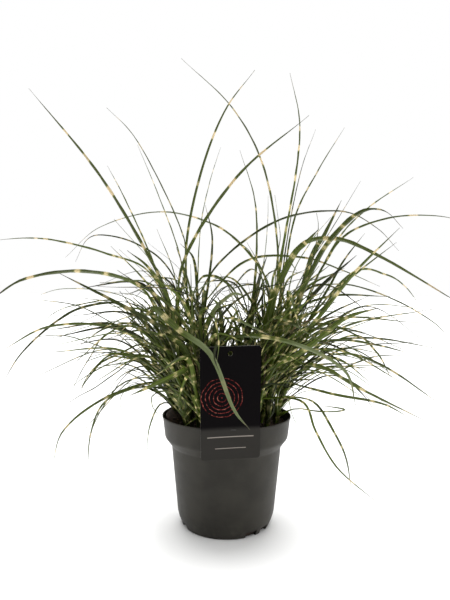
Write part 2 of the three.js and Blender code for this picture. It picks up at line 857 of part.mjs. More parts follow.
function tongueBody() {
  const over = POT_HEIGHT + SEAT_GAP;
  const outer = over + TONGUE_THICKNESS;
  const back = TONGUE_BACK_Y;
  const outline = new THREE.Shape();
  outline.moveTo(TONGUE_CARD_Y, over);
  outline.lineTo(back, over);
  outline.lineTo(back, TONGUE_FOOT);
  outline.lineTo(back + TONGUE_THICKNESS, TONGUE_FOOT);
  outline.lineTo(back + TONGUE_THICKNESS, outer - TONGUE_CORNER);
  outline.lineTo(back + TONGUE_THICKNESS - TONGUE_CORNER, outer);
  outline.lineTo(TONGUE_CARD_Y, outer);
  const tongue = new THREE.ExtrudeGeometry(outline, { depth: TONGUE_WIDTH, bevelEnabled: false });
  tongue.rotateX(Math.PI / 2);
  tongue.rotateZ(Math.PI / 2);
  tongue.translate(TONGUE_X - TONGUE_WIDTH / 2, 0, 0);
  return solid(tongue);
}

function labelBody() {
  return cardBody().add(tongueBody());
}

// Points spread over the label, which leaves and culms keep clear of
function labelPoints() {
  const place = cardPlace();
  const step = CHECK_SPACING.along;
  const points = [];
  for (let x = -CARD.width / 2; x <= CARD.width / 2; x += step) {
    for (let z = -CARD.height / 2; z <= CARD.height / 2; z += step) {
      points.push(new THREE.Vector3(x, 0, z).applyMatrix4(place));
    }
  }
  for (let x = -TONGUE_WIDTH / 2; x <= TONGUE_WIDTH / 2; x += step) {
    for (let y = TONGUE_CARD_Y; y <= TONGUE_BACK_Y; y += step) {
      points.push(new THREE.Vector3(TONGUE_X + x, y, POT_HEIGHT + SEAT_GAP + TONGUE_THICKNESS));
    }
  }
  return points;
}

// Shoots
function fillerShoots(placed) {
  const shoots = [];
  for (const [number, ring] of FILLER_RINGS.entries()) {
    for (let place = 0; place < ring.count; place += 1) {
      const seed = FOLIAGE_SEED + SEED_STRIDE.ring * (number + 1) + SEED_STRIDE.place * place;
      const shoot = fillerShoot(ring, place, seed, [...placed, ...shoots]);
      if (!shoot) continue;
      claim(culmPoints(shoot), placed.length + shoots.length + 1);
      shoots.push(shoot);
    }
  }
  return shoots;
}

// A filler shoot near its place on the ring; it is drawn again until it stands clear, or left out
function fillerShoot(ring, place, seed, others) {
  for (let attempt = 0; attempt < FOOT_TRIES; attempt += 1) {
    const draw = draws(seed + attempt);
    const bearing = (2 * Math.PI * (place + FILLER_STRAY.turn * draw())) / ring.count;
    const radius = ring.radius + FILLER_STRAY.out * draw();
    const foot = [radius * Math.cos(bearing), radius * Math.sin(bearing)];
    const outward = FILLER_LEAN.middle + FILLER_LEAN.rim * (radius / RIM_RADIUS);
    const lean = outward + FILLER_LEAN.spread * (draw() - 0.5);
    const heading = bearing + FILLER_HEADING_SPREAD * (draw() - 0.5);
    const tall = between(draw, FILLER_HEIGHT);
    const top = [
      foot[0] + tall * lean * Math.cos(heading),
      foot[1] + tall * lean * Math.sin(heading),
      SOIL_EDGE_HEIGHT + tall,
    ];
    const shoot = { foot, top, culm: FILLER_CULM.foot, grown: [], extras: FILLER_LEAVES };
    const apart = others.every(
      (other) => Math.hypot(other.foot[0] - foot[0], other.foot[1] - foot[1]) > FOOT_SPACING,
    );
    if (apart && isClear(culmPoints(shoot), others.length + 1)) return shoot;
  }
  return null;
}

// A leaf settles where it is clear. Near its culm it may touch the shoot's other leaves, further out nothing.
function settles(leaf, owner) {
  const spread = leafPoints(leaf);
  const foot = leaf.points[0];
  const near = spread.filter((point) => point.distanceTo(foot) < LEAF_SHEATH);
  const far = spread.filter((point) => point.distanceTo(foot) >= LEAF_SHEATH);
  if (!isWithinReach(spread) || !isClear(near, owner) || !isClear(far, owner, leafOwner)) return false;
  claim(near, owner);
  claim(far, leafOwner);
  leafOwner += 1;
  return true;
}

// A long leaf that would pass through a neighbour is swung forwards or back, more at its tip,
// until it is clear
function longLeaf(shoot, wanted, owner) {
  for (let swing = 0; swing < LONG_LEAF_SWINGS; swing += 1) {
    const slide = LONG_LEAF_SLIDE.step * (swing % LONG_LEAF_SLIDE.count);
    const start = culmCurve(shoot).getPoint(wanted.from - slide);
    const depth = (swing % 2 ? 1 : -1) * Math.ceil(swing / 2) * LONG_LEAF_SWING;
    const points = wanted.via.map(([x, y, z], i) => {
      return new THREE.Vector3(x, y + (depth * (i + 1)) / wanted.via.length, z);
    });
    const leaf = { width: wanted.width, turn: wanted.turn, points: [start, ...points], long: true };
    if (settles(leaf, owner)) return leaf;
  }
  return null;
}

// A filler leaf leaves its culm at a drawn bearing and bends over; it is drawn again until it is clear
function fillerLeaf(shoot, number, owner) {
  const heading = Math.atan2(shoot.top[1] - shoot.foot[1], shoot.top[0] - shoot.foot[0]);
  const seed = FOLIAGE_SEED + SEED_STRIDE.shoot * owner + SEED_STRIDE.leaf * number;
  for (let attempt = 0; attempt < FILLER_LEAF_TRIES; attempt += 1) {
    const draw = draws(seed + attempt);
    const pick = draw();
    let kind = FILLER_KINDS[0];
    if (pick > FILLER_KINDS[0].share) kind = FILLER_KINDS[1];
    if (pick > FILLER_KINDS[0].share + FILLER_KINDS[1].share) kind = FILLER_KINDS[2];
    const length = between(draw, kind.length);
    const rise = radians(between(draw, kind.rise));
    const fall = radians(between(draw, kind.fall));
    const bearing = heading + FILLER_LEAF_FAN * (draw() - 0.5);
    const veer = bearing + FILLER_LEAF_VEER * (draw() - 0.5);
    const start = culmCurve(shoot).getPoint(between(draw, FILLER_LEAF_FROM));
    const middle = start.clone().addScaledVector(direction(rise, bearing), length / 2);
    const tip = middle.clone().addScaledVector(direction(fall, veer), length / 2);
    const width = between(draw, kind.width);
    const turn = FILLER_LEAF_TURN * (draw() - 0.5);
    const leaf = { width, turn, points: [start, middle, tip], long: false };
    if (settles(leaf, owner)) return leaf;
  }
  return null;
}

// Leaves fused to their culm. Corners closer than the merging distance become one before the last
// look for voids.
function shootBody(shoot) {
  const leaves = shoot.grown.map((leaf) => {
    return leafSolid(leaf, leaf.long ? LEAF_STEPS.long : LEAF_STEPS.short);
  });
  const joined = largestShell(wasm.Manifold.union([culmSolid(shoot), ...leaves]));
  return largestShell(solid(geometryOf(joined)));
}

// The leading shoots come first, then the fillers and the short leaves, each clear of all that came before
function growShoots() {
  claim(labelPoints(), 0);
  const leaders = LEADERS.map((leader) => ({ ...leader, extras: LEADER_EXTRAS }));
  leaders.forEach((shoot, i) => claim(culmPoints(shoot), i + 1));
  leaders.forEach((shoot, i) => {
    shoot.grown = shoot.leaves.map((wanted) => longLeaf(shoot, wanted, i + 1)).filter(Boolean);
  });
  const shoots = [...leaders, ...fillerShoots(leaders)];
  shoots.forEach((shoot, i) => {
    for (let number = 0; number < shoot.extras; number += 1) {
      const leaf = fillerLeaf(shoot, number, i + 1);
      if (leaf) shoot.grown.push(leaf);
    }
  });
  return shoots;
}

// Finishes
const POT_PLASTIC = { color: 0x5b5a55, roughness: 0.55, metalness: 0 };
const COMPOST = { color: 0x2a211b, roughness: 0.95, metalness: 0 };
const CARD_PLASTIC = { color: 0x141214, roughness: 0.35, metalness: 0 };
const LEAF_GREEN = { color: 0x506b2c, roughness: 0.5, metalness: 0 };

const group = new THREE.Group();

function addPart(name, body, finish) {
  const mesh = new THREE.Mesh(geometryOf(body), new THREE.MeshStandardMaterial(finish));
  mesh.name = name;
  group.add(mesh);
}

const shoots = growShoots();
addPart("pot", potBody(), POT_PLASTIC);
addPart("soil", soilBody(shoots), COMPOST);
addPart("label", labelBody(), CARD_PLASTIC);
shoots.forEach((shoot, i) => addPart(`shoot_${i + 1}`, shootBody(shoot), LEAF_GREEN));

export default group;
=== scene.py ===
import math

import bmesh
import bpy
import numpy as np
from mathutils import Matrix, Vector, noise


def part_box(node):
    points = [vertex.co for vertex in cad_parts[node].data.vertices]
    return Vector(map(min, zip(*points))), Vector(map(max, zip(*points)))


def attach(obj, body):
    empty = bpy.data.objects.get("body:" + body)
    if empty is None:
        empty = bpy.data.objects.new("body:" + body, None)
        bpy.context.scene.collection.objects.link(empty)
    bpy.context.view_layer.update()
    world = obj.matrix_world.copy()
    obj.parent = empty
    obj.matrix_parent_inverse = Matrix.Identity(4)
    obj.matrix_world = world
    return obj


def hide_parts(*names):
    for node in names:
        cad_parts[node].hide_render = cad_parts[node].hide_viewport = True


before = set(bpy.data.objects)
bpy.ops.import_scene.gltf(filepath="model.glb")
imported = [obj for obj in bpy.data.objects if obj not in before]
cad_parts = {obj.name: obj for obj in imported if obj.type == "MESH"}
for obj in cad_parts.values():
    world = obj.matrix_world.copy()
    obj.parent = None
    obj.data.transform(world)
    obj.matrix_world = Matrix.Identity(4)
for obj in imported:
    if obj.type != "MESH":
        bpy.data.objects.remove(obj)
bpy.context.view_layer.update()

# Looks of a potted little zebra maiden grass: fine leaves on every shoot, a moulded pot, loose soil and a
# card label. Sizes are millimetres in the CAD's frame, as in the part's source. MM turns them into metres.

MM = 0.001

# Camera: at the photograph's viewing angle, a little above the leaves' middle
CAMERA_PLACE = (-3.3, -700.0, 303.6)
CAMERA_PITCH = 0.013
CAMERA_ROLL = 0.008
CAMERA_LENS = 31.55
CAMERA_SENSOR = 36.0

# Pot: radii and heights of its outside, from the foot up
POT_WALL = 1.4
BEND_RISE = 1.0
LIP_HEIGHT = 2.6
LIP_STEP = 0.7
COLLAR_FOOT_RADIUS = 81.2
COLLAR_FOOT_HEIGHT = 115.4
BODY_TOP_RADIUS = 72.4
BODY_TOP_HEIGHT = 103.8
BODY_FOOT_RADIUS = 63.6
BODY_FOOT_HEIGHT = 15.0
BASE_RADIUS = 57.4
BASE_THICKNESS = 1.8
POT_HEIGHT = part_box("pot")[1].z / MM
RIM_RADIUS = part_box("pot")[1].x / MM
POT_SEGMENTS = 192

# Drain openings: three pairs, cut through the sloping foot
DRAIN_PAIRS = 3
DRAIN_FIRST_BEARING = 43.5
DRAIN_PAIR_SPREAD = 11.0
DRAIN_SIZE = (16.0, 16.0, 9.0)
DRAIN_RADIUS = 61.0
DRAIN_HEIGHT = 3.2

# Soil
SEAT_GAP = 0.3
SOIL_EDGE_HEIGHT = 131.0
SOIL_MOUND = 4.0
SOIL_LUMP = 1.1
SOIL_WAVE = {"x": 0.21, "y": 0.19, "shift": 1.3}
SOIL_RIPPLE = {"x": 0.37, "y": 0.33, "share": 0.6}
SOIL_FOOT_EASE = 1.0
SOIL_SPREAD = 1.4

# Label
CARD_WIDTH = 70.0
CARD_HEIGHT = 139.0
CARD_THICKNESS = 0.8
CARD_CORNER = 4.0
CARD_CENTRE = (4.1, -95.0, 175.8)
CARD_LEAN = 11.6
CARD_ROLL = 1.8
CARD_YAW = 6.8
CARD_HOLE_RADIUS = 3.0
CARD_HOLE_BELOW_TOP = 8.5
CARD_HOLE_LEFT = 0.5
TONGUE_WIDTH = 14.0
TONGUE_THICKNESS = 0.8
TONGUE_X = 4.0
TONGUE_CARD_Y = -88.3
TONGUE_BACK_Y = -77.0
TONGUE_FOOT = 117.0

# Culms
CULM_SIDES = 5
CULM_DEPTH = 12.0
CULM_CHECKS = 80
CULM_KNEE = {"up": 0.45, "out": 0.3}
CULM_NUDGE = 1e-4
FILLER_CULM = {"foot": 2.4, "top": 1.3}

# Filler shoots stand on rings wherever there is room, and lean outwards
FILLER_RINGS = [(1, 2.0), (6, 20.0), (11, 40.0), (14, 58.0)]
FOOT_SPACING = 10.5
FOOT_TRIES = 8
FILLER_STRAY = {"turn": 0.8, "out": 8.0}
FILLER_LEAN = {"middle": 0.22, "rim": 0.42, "spread": 0.25}
FILLER_HEADING_SPREAD = 0.9
FILLER_HEIGHT = (62.0, 128.0)
FILLER_LEAVES = 6
LEADER_EXTRAS = 2

# Leaves
LEAF_TIP_WIDTH = 0.9
LEAF_SWELL = {"foot": 0.75, "rate": 1.2}
LEAF_TAPER = 3.2
LEAF_TWIST = {"foot": 0.25, "rate": 2.2}
LEAF_SHEATH = 28.0
LONG_LEAF_SWINGS = 24
LONG_LEAF_SWING = 5.0
LONG_LEAF_SLIDE = {"step": 0.05, "count": 4}
FILLER_LEAF_TRIES = 60
FILLER_LEAF_FROM = (0.45, 0.97)
FILLER_LEAF_FAN = 3.4
FILLER_LEAF_VEER = 0.7
FILLER_LEAF_TURN = 1.8

# What each point of a leaf keeps clear of, checked on a grid of small cells
CELL = 2.5
GRID_REACH = 320
GRID_BELOW = 2
CHECK_SPACING = {"along": 2.0, "across": 1.3}
PLACE_ROOM = 1e-9
REACH = {"side": 300.0, "front": -235.0, "back": 260.0, "low": 42.0, "high": 606.0}
MOUTH_CLEARANCE = {"radius": 92.0, "height": 149.0}

# Seeds: one for the plant, and strides that keep the draws of its rings, shoots and leaves apart
FOLIAGE_SEED = 7
SEED_STRIDE = {"ring": 1000, "place": 20, "shoot": 100000, "leaf": 1000, "kind": 30}

# Leading shoots: foot, top of the culm, foot radius, and the long leaves. A leaf gives its width, how far
# its face is turned, how far up the culm it starts, and the points that it passes on its way to the tip.
LEADERS = [
    ((-44, -6), (-68, -2, 262), 3, [
        (7.5, -1, 0.96, [(-95, 12, 328), (-179, 34, 465), (-287, 58, 595)]),
        (4.5, -0.6, 0.86, [
            (-100, -16, 327), (-157, -20, 353), (-215, -24, 368), (-254, -26, 372), (-298, -28, 369),
        ]),
    ]),
    ((-56, -24), (-80, -26, 240), 2.6, [
        (8, 0.7, 0.95, [(-106, -39, 306), (-170, -58, 328), (-240, -80, 318), (-284, -94, 284)]),
        (5.5, -0.8, 0.8, [(-143, -32, 257), (-221, -46, 260), (-277, -60, 230)]),
        (4.5, -0.4, 0.72, [(-133, -28, 223), (-200, -43, 248), (-246, -60, 247)]),
        (4.5, 0.8, 0.55, [(-99, -30, 188), (-160, -35, 166), (-206, -40, 128), (-218, -44, 84)]),
        (7, -0.9, 0.9, [
            (-90, -74, 284), (-54, -114, 262), (-18, -128, 236), (6, -142, 182), (24, -148, 160),
        ]),
    ]),
    ((-62, 0), (-90, 4, 236), 2.6, [
        (5, -0.8, 0.94, [
            (-135, 0, 284), (-186, -8, 284), (-224, -18, 263), (-262, -30, 225), (-283, -40, 187),
        ]),
        (2.5, 0.8, 0.86, [(-145, 24, 287), (-207, 40, 286), (-246, 50, 274), (-266, 56, 255)]),
        (3.5, 0.8, 0.7, [(-144, 0, 222), (-178, -4, 200), (-196, -8, 170)]),
        (3.5, -1, 0.5, [(-112, -4, 178), (-159, -10, 160), (-178, -12, 118), (-182, -14, 64)]),
        (2.5, 0.8, 0.32, [(-88, -10, 156), (-101, -14, 126), (-103, -16, 98)]),
    ]),
    ((-52, 30), (-80, 44, 262), 2.6, [
        (7, -0.4, 0.96, [(-111, 70, 351), (-159, 112, 447), (-192, 138, 505)]),
        (2.5, 0.4, 0.88, [(-148, 52, 297), (-236, 60, 308), (-295, 64, 289)]),
        (3, -0.3, 0.8, [(-150, 62, 260), (-214, 78, 250), (-282, 110, 222)]),
        (3.5, -0.3, 0.66, [(-158, 42, 248), (-198, 50, 206), (-229, 58, 150)]),
        (3, -0.6, 0.5, [(-140, 46, 178), (-177, 50, 138), (-201, 54, 87)]),
    ]),
    ((-30, 10), (-54, 6, 292), 2.8, [
        (3.5, 0.6, 0.97, [(-54, -10, 370), (-35, -26, 458), (-6, -40, 530), (31, -50, 578)]),
        (5, -0.7, 0.9, [(-10, 14, 345), (70, 26, 404), (157, 37, 419), (209, 44, 398), (243, 48, 366)]),
        (4.5, -0.3, 0.84, [(-67, 26, 356), (-99, 50, 441), (-132, 66, 518)]),
    ]),
    ((-34, -32), (-66, -42, 262), 2.8, [
        (6, -1.2, 0.96, [(-52, -56, 345), (10, -80, 440), (89, -110, 503)]),
        (3.5, -0.6, 0.86, [
            (-53, -41, 347), (-60, -39, 386), (-91, -35, 452), (-122, -33, 504), (-155, -32, 537),
        ]),
        (4, -0.8, 0.66, [(-104, -70, 262), (-140, -88, 262), (-172, -102, 240)]),
    ]),
    ((-24, 38), (-44, 58, 300), 2.6, [
        (4.5, 1, 0.97, [(-40, 70, 396), (-28, 86, 466), (-12, 102, 525)]),
        (4.5, -1, 0.9, [(26, 72, 350), (110, 90, 358), (175, 104, 340), (238, 120, 316)]),
        (2.5, 1.2, 0.8, [
            (-85, 60, 338), (-132, 72, 374), (-181, 84, 388), (-209, 88, 382), (-227, 91, 349),
        ]),
        (4, -0.7, 0.72, [
            (-113, 70, 227), (-168, 86, 255), (-223, 98, 281), (-272, 108, 289), (-298, 116, 289),
        ]),
    ]),
    ((-12, -4), (-40, -6, 246), 2.8, [
        (4, 0.8, 0.95, [(-26, -28, 310), (-20, -44, 370), (-28, -60, 410)]),
        (5, -0.9, 0.95, [
            (-45, -16, 288), (-35, -26, 321), (-19, -34, 325),
            (-5, -42, 319), (9, -50, 306), (22, -60, 278),
        ]),
    ]),
    ((40, -4), (62, 0, 276), 3, [
        (6, 0.7, 0.97, [(66, 6, 363), (46, 0, 470), (4, -8, 546), (-62, -20, 605)]),
        (7, -0.8, 0.88, [(73, -20, 369), (86, -34, 457), (88, -44, 518), (74, -52, 574)]),
        (6, 0.5, 0.92, [
            (56, 26, 313), (31, 38, 357), (-18, 48, 399),
            (-98, 56, 419), (-185, 64, 398), (-236, 66, 354),
        ]),
    ]),
    ((48, 22), (74, 34, 288), 2.8, [
        (4, -0.3, 0.97, [(92, 42, 405), (128, 56, 480), (168, 66, 545)]),
        (4, 0.8, 0.88, [(88, 66, 390), (110, 94, 490), (137, 130, 562)]),
        (4, 0.8, 0.78, [(112, 62, 335), (155, 86, 400), (204, 112, 478)]),
    ]),
    ((20, 24), (34, 36, 286), 2.6, [
        (6.5, -0.9, 0.97, [(40, 48, 360), (38, 62, 440), (17, 78, 516)]),
        (3, 1.1, 0.8, [(52, 70, 345), (60, 104, 410), (62, 130, 455)]),
    ]),
    ((50, -28), (80, -42, 272), 2.8, [
        (8, 0.3, 0.97, [
            (108, -62, 343), (129, -90, 378), (148, -118, 395), (167, -138, 392), (180, -156, 372),
        ]),
        (4.5, -0.5, 0.84, [(76, -62, 320), (98, -80, 366), (118, -92, 392)]),
    ]),
    ((34, -46), (60, -68, 240), 2.6, [
        (5.5, 0.8, 0.95, [(99, -84, 267), (140, -112, 326), (183, -136, 375)]),
        (6, -0.8, 0.84, [(110, -76, 217), (155, -80, 193), (233, -92, 156)]),
        (7.5, 1, 0.76, [(92, -92, 240), (132, -104, 275), (170, -112, 289)]),
        (4, -0.8, 0.5, [(91, -62, 172), (108, -64, 136), (135, -66, 92), (183, -70, 52)]),
    ]),
    ((62, -8), (100, -14, 240), 3.2, [
        (4.5, 0.8, 0.88, [(134, -22, 300), (167, -34, 333), (211, -40, 369)]),
        (6.5, 0.6, 0.76, [(155, -4, 224), (216, 8, 204), (296, 26, 152)]),
        (4, -1.1, 0.6, [(140, -12, 172), (203, -8, 160), (242, -4, 141)]),
        (4, 1.1, 0.45, [(113, -16, 162), (138, -22, 126), (154, -26, 92), (161, -28, 50)]),
    ]),
    ((58, 36), (98, 52, 250), 2.6, [
        (6.5, 0.7, 0.97, [(146, 50, 365), (201, 76, 427), (285, 112, 484)]),
        (4.5, 0.6, 0.92, [
            (118, 44, 310), (136, 34, 350), (149, 28, 374), (172, 24, 391),
            (214, 16, 403), (259, 10, 403), (297, 4, 394),
        ]),
        (4, -1, 0.9, [(182, 76, 333), (237, 88, 333), (271, 94, 313), (297, 98, 279)]),
        (8, -0.7, 0.82, [(122, 84, 350), (147, 102, 395), (176, 122, 449)]),
        (4.5, -0.6, 0.72, [(141, 50, 306), (167, 58, 351), (199, 66, 392)]),
        (4, 0.9, 0.6, [(178, 66, 242), (222, 80, 218), (251, 96, 173)]),
        (5.5, 0.8, 0.74, [(140, 36, 236), (208, 34, 242), (297, 40, 228)]),
    ]),
    ((34, 52), (78, 86, 244), 2.6, [
        (6, 0.8, 0.84, [(170, 116, 232), (242, 140, 222), (298, 160, 208)]),
        (4, 0.8, 0.66, [(130, 136, 206), (208, 180, 212), (272, 204, 200)]),
        (4, -0.4, 0.75, [
            (162, 100, 187), (197, 112, 196), (234, 124, 206), (271, 136, 207), (298, 152, 204),
        ]),
    ]),
    ((26, -18), (52, -28, 266), 3, [
        (7.5, -1, 0.96, [(84, -30, 355), (130, -46, 372), (185, -66, 348), (283, -88, 286)]),
        (4, 0.8, 0.84, [(44, -50, 310), (28, -74, 350), (4, -92, 368)]),
        (4.5, 0.4, 0.9, [
            (76, -22, 299), (114, -14, 313), (164, -6, 315),
            (226, 2, 295), (276, 5, 267), (298, 6, 246),
        ]),
        (8, 0.9, 0.8, [(56, -58, 299), (76, -84, 348), (89, -94, 362), (102, -106, 377)]),
    ]),
    ((-48, -46), (-57, -84, 228), 3.2, [
        (6, 1, 0.9, [(-48, -118, 218), (-77, -142, 206), (-99, -168, 199)]),
        (4.5, -1, 0.97, [(-66, -96, 290), (-88, -108, 330), (-112, -118, 350)]),
    ]),
    ((-10, -44), (-28, -76, 226), 2.6, [
        (6, -0.8, 0.96, [(10, -108, 254), (72, -126, 249), (122, -148, 224), (132, -162, 188)]),
        (4, 0.7, 0.86, [(-32, -104, 276), (-18, -122, 284), (-10, -134, 252), (-12, -138, 226)]),
        (6, -0.9, 0.97, [
            (-27, -86, 251), (-22, -94, 271), (-12, -102, 288),
            (5, -108, 302), (17, -108, 301), (25, -104, 293),
        ]),
    ]),
    ((16, -56), (24, -84, 214), 2.4, [
        (4, -1.1, 0.8, [(52, -104, 262), (70, -128, 284), (82, -146, 288)]),
    ]),
]

# Broad shapes that the filler leaves follow: how long, how wide, how steep at the culm and at the tip
FILLER_KINDS = [
    {"share": 0.5, "length": (95, 165), "width": (3, 5), "rise": (50, 82), "fall": (15, 55)},
    {"share": 0.35, "length": (130, 215), "width": (3, 5.5), "rise": (25, 60), "fall": (-40, 15)},
    {"share": 0.15, "length": (120, 190), "width": (5, 8), "rise": (45, 75), "fall": (-20, 40)},
]
FILLER_RULE = {"kinds": FILLER_KINDS, "from": FILLER_LEAF_FROM, "fan": FILLER_LEAF_FAN}

# Extra fine leaves: short ones that fill the crown, and thin ones among the long leaves
FINE_CELL = 1.6
FINE_SEED = 31
FINE_TRIES = 24
FINE_LEAF_TURN = 3.0
FINE_LANES = 5
FINE_REACH = {
    "mouth": 79.0,
    "soil": 138.0,
    "rim": 92.0,
    "over": 146.0,
    "side": 290.0,
    "front": -178.0,
    "back": 222.0,
    "high": 600.0,
}
TUFT_KINDS = [
    {"share": 0.6, "length": (50, 115), "width": (3, 5), "rise": (50, 85), "fall": (25, 70)},
    {"share": 0.25, "length": (60, 140), "width": (2, 4), "rise": (30, 65), "fall": (-10, 40)},
    {"share": 0.15, "length": (60, 120), "width": (4.5, 6.5), "rise": (50, 80), "fall": (0, 50)},
]
HAIR_KINDS = [
    {"share": 0.5, "length": (110, 180), "width": (1.5, 2.5), "rise": (45, 80), "fall": (0, 60)},
    {"share": 0.35, "length": (120, 210), "width": (1.5, 2.6), "rise": (20, 55), "fall": (-50, 10)},
    {"share": 0.15, "length": (70, 120), "width": (1.2, 1.9), "rise": (30, 80), "fall": (-60, 60)},
]
SPRAY_KINDS = [
    {"share": 0.45, "length": (90, 180), "width": (3, 5), "rise": (28, 62), "fall": (-12, 38)},
    {"share": 0.35, "length": (110, 200), "width": (2.6, 4.4), "rise": (12, 45), "fall": (-48, 10)},
    {"share": 0.2, "length": (80, 150), "width": (4, 6), "rise": (40, 70), "fall": (-5, 40)},
]
EXTRA_LEAVES = (
    {"kinds": TUFT_KINDS, "count": 9, "right": 3, "from": (0.15, 0.8), "fan": 5.0, "dry": 0.04},
    {"kinds": SPRAY_KINDS, "count": 4, "right": 2, "from": (0.45, 0.97), "fan": 4.6, "dry": 0.02},
    {"kinds": HAIR_KINDS, "count": 1, "right": 0, "from": (0.3, 0.97), "fan": 4.4, "dry": 0.04},
)
RIGHT_SIDE = 10.0
DRY_WIDTH = 1.6

# Long leaves that are pale and nearly plain past their foot: the shoot's number and the leaf's place on it
PALE_LEAVES = ((2, 4), (19, 0), (19, 2))
PALE_FROM = (0.3, 0.62)

# Small leaves that stand out from the clump. Each gives its shoot, how dry it is, its width, how far up the
# culm it starts, and the points that it passes on its way to the tip.
STRAY_TURN = 0.8
STRAYS = [
    (14, 0, 3.5, 0.2, [
        (91, -14, 153), (115, -20, 151), (139, -26, 152),
        (152, -30, 156), (136, -34, 160), (118, -36, 162),
    ]),
    (38, 0, 1.2, 0.3, [(77, 26, 163), (88, 42, 153), (93, 48, 133), (103, 50, 114), (120, 52, 102)]),
    (37, 0, 3, 0.9, [
        (106, -34, 234), (128, -42, 228), (143, -50, 213),
        (156, -56, 191), (171, -60, 175), (182, -64, 156),
    ]),
    (42, 0, 1.1, 0.4, [
        (-102, 0, 179), (-123, -10, 183), (-134, -14, 174),
        (-139, -16, 163), (-136, -18, 149), (-117, -20, 118),
    ]),
    (43, 0, 1.4, 0.35, [
        (-77, -50, 181), (-90, -56, 178), (-92, -60, 173),
        (-90, -60, 163), (-83, -60, 155), (-76, -60, 155),
    ]),
    (42, 0, 2.2, 0.8, [(-110, 6, 204), (-127, 2, 200), (-143, -2, 190), (-156, -6, 173)]),
    (3, 0, 2.2, 0.7, [
        (-111, -4, 227), (-148, -8, 213), (-173, -12, 200), (-189, -16, 190), (-214, -20, 171),
    ]),
    (2, 0, 2, 0.65, [
        (-111, -32, 218), (-141, -38, 201), (-165, -44, 184), (-184, -48, 174), (-212, -52, 155),
    ]),
    (43, 0, 3, 0.9, [
        (-99, -84, 243), (-125, -92, 232), (-144, -96, 223),
        (-153, -98, 213), (-164, -100, 198), (-167, -100, 189),
    ]),
    (27, 0, 4.5, 0.95, [
        (12, -62, 249), (-4, -86, 254), (-13, -102, 245), (-14, -108, 233), (-9, -110, 222),
    ]),
    (12, 0, 4, 0.2, [
        (51, -40, 165), (53, -48, 171), (56, -54, 169), (58, -58, 163), (55, -60, 155), (48, -60, 147),
    ]),
    (36, 1, 1.6, 0.6, [(51, -52, 207), (54, -58, 200), (49, -60, 191), (48, -62, 177)]),
    (36, 0.4, 2, 0.95, [(47, -58, 220), (53, -62, 206)]),
    (44, 0, 2, 0.1, [(-31, -76, 148), (-35, -90, 146), (-38, -96, 133)]),
    (44, 0, 2, 0.3, [(-34, -66, 153), (-42, -69, 151), (-50, -72, 146)]),
    (12, 0, 1.4, 0.9, [(93, -44, 302), (104, -50, 343), (110, -56, 383), (107, -60, 402)]),
    (9, 0, 1.6, 0.95, [(66, 8, 346), (71, 14, 379), (69, 18, 401), (64, 24, 439)]),
]


# Growth: the same rule as the part's source, so that each fine leaf lies where its solid lies

def draws(seed):
    """A seeded stream of numbers from 0 to 1."""
    mask = 0xFFFFFFFF
    state = seed & mask
    while True:
        state = (state + 0x6D2B79F5) & mask
        mixed = ((state ^ (state >> 15)) * (state | 1)) & mask
        mixed ^= (mixed + (mixed ^ (mixed >> 7)) * (mixed | 61)) & mask
        yield (mixed ^ (mixed >> 14)) / 4294967296


def between(draw, span):
    return span[0] + (span[1] - span[0]) * draw()


def unit(vectors):
    return vectors / np.linalg.norm(vectors, axis=-1, keepdims=True)


def smooth_curve(points, places):
    """Points on the smooth curve through the given ones, at places from 0 to 1 along it."""
    points = np.asarray(points, float)
    padded = np.vstack([2 * points[0] - points[1], points, 2 * points[-1] - points[-2]])
    spots = np.clip(places, 0, 1) * (len(points) - 1)
    first = np.minimum(spots.astype(int), len(points) - 2)
    w = (spots - first)[:, None]
    p0, p1, p2, p3 = (padded[first + i] for i in range(4))
    out = (p2 - p0) / 2
    back = (p3 - p1) / 2
    return p1 + out * w + (3 * (p2 - p1) - 2 * out - back) * w**2 + (2 * (p1 - p2) + out + back) * w**3


def soil_height(x, y):
    mound = SOIL_MOUND * (1 - (x * x + y * y) / RIM_RADIUS**2)
    wave = np.sin(SOIL_WAVE["x"] * x + SOIL_WAVE["shift"]) * np.cos(SOIL_WAVE["y"] * y)
    ripple = SOIL_RIPPLE["share"] * np.sin(SOIL_RIPPLE["x"] * x - SOIL_RIPPLE["y"] * y)
    return SOIL_EDGE_HEIGHT + mound + SOIL_LUMP * (wave + ripple)


class Claims:
    """Cells held by what is already placed. A cell near two owners is closed to all."""

    EMPTY = 0
    SHARED = -1

    def __init__(self, cell=CELL):
        span = 2 * math.ceil(GRID_REACH / cell)
        self.cell = cell
        self.shift = np.array([span // 2, span // 2, GRID_BELOW])
        self.cells = np.full((span,) * 3, self.EMPTY, np.int16)

    def cells_of(self, points):
        return np.floor(points / self.cell).astype(int) + self.shift

    def claim(self, points, owner, halo=1):
        cells = np.unique(self.cells_of(points), axis=0)
        reach = range(-halo, halo + 1)
        steps = np.array([(i, j, k) for i in reach for j in reach for k in reach])
        near = np.unique((cells[:, None] + steps[None]).reshape(-1, 3), axis=0)
        place = tuple(near.T)
        held = self.cells[place]
        self.cells[place] = np.where((held == self.EMPTY) | (held == owner), owner, self.SHARED)

    def is_clear(self, points, *owners):
        held = self.cells[tuple(self.cells_of(points).T)]
        return bool(np.isin(held, (self.EMPTY, *owners)).all())


def is_within_reach(points):
    """Leaves stay within the clump's reach, and above the pot's mouth until they are past its rim."""
    x, y, z = points.T
    over_mouth = np.hypot(x, y) < MOUTH_CLEARANCE["radius"]
    if (over_mouth & (z < MOUTH_CLEARANCE["height"])).any():
        return False
    if (abs(x) > REACH["side"]).any() or (y < REACH["front"]).any() or (y > REACH["back"]).any():
        return False
    return bool(((z > REACH["low"]) & (z < REACH["high"])).all())


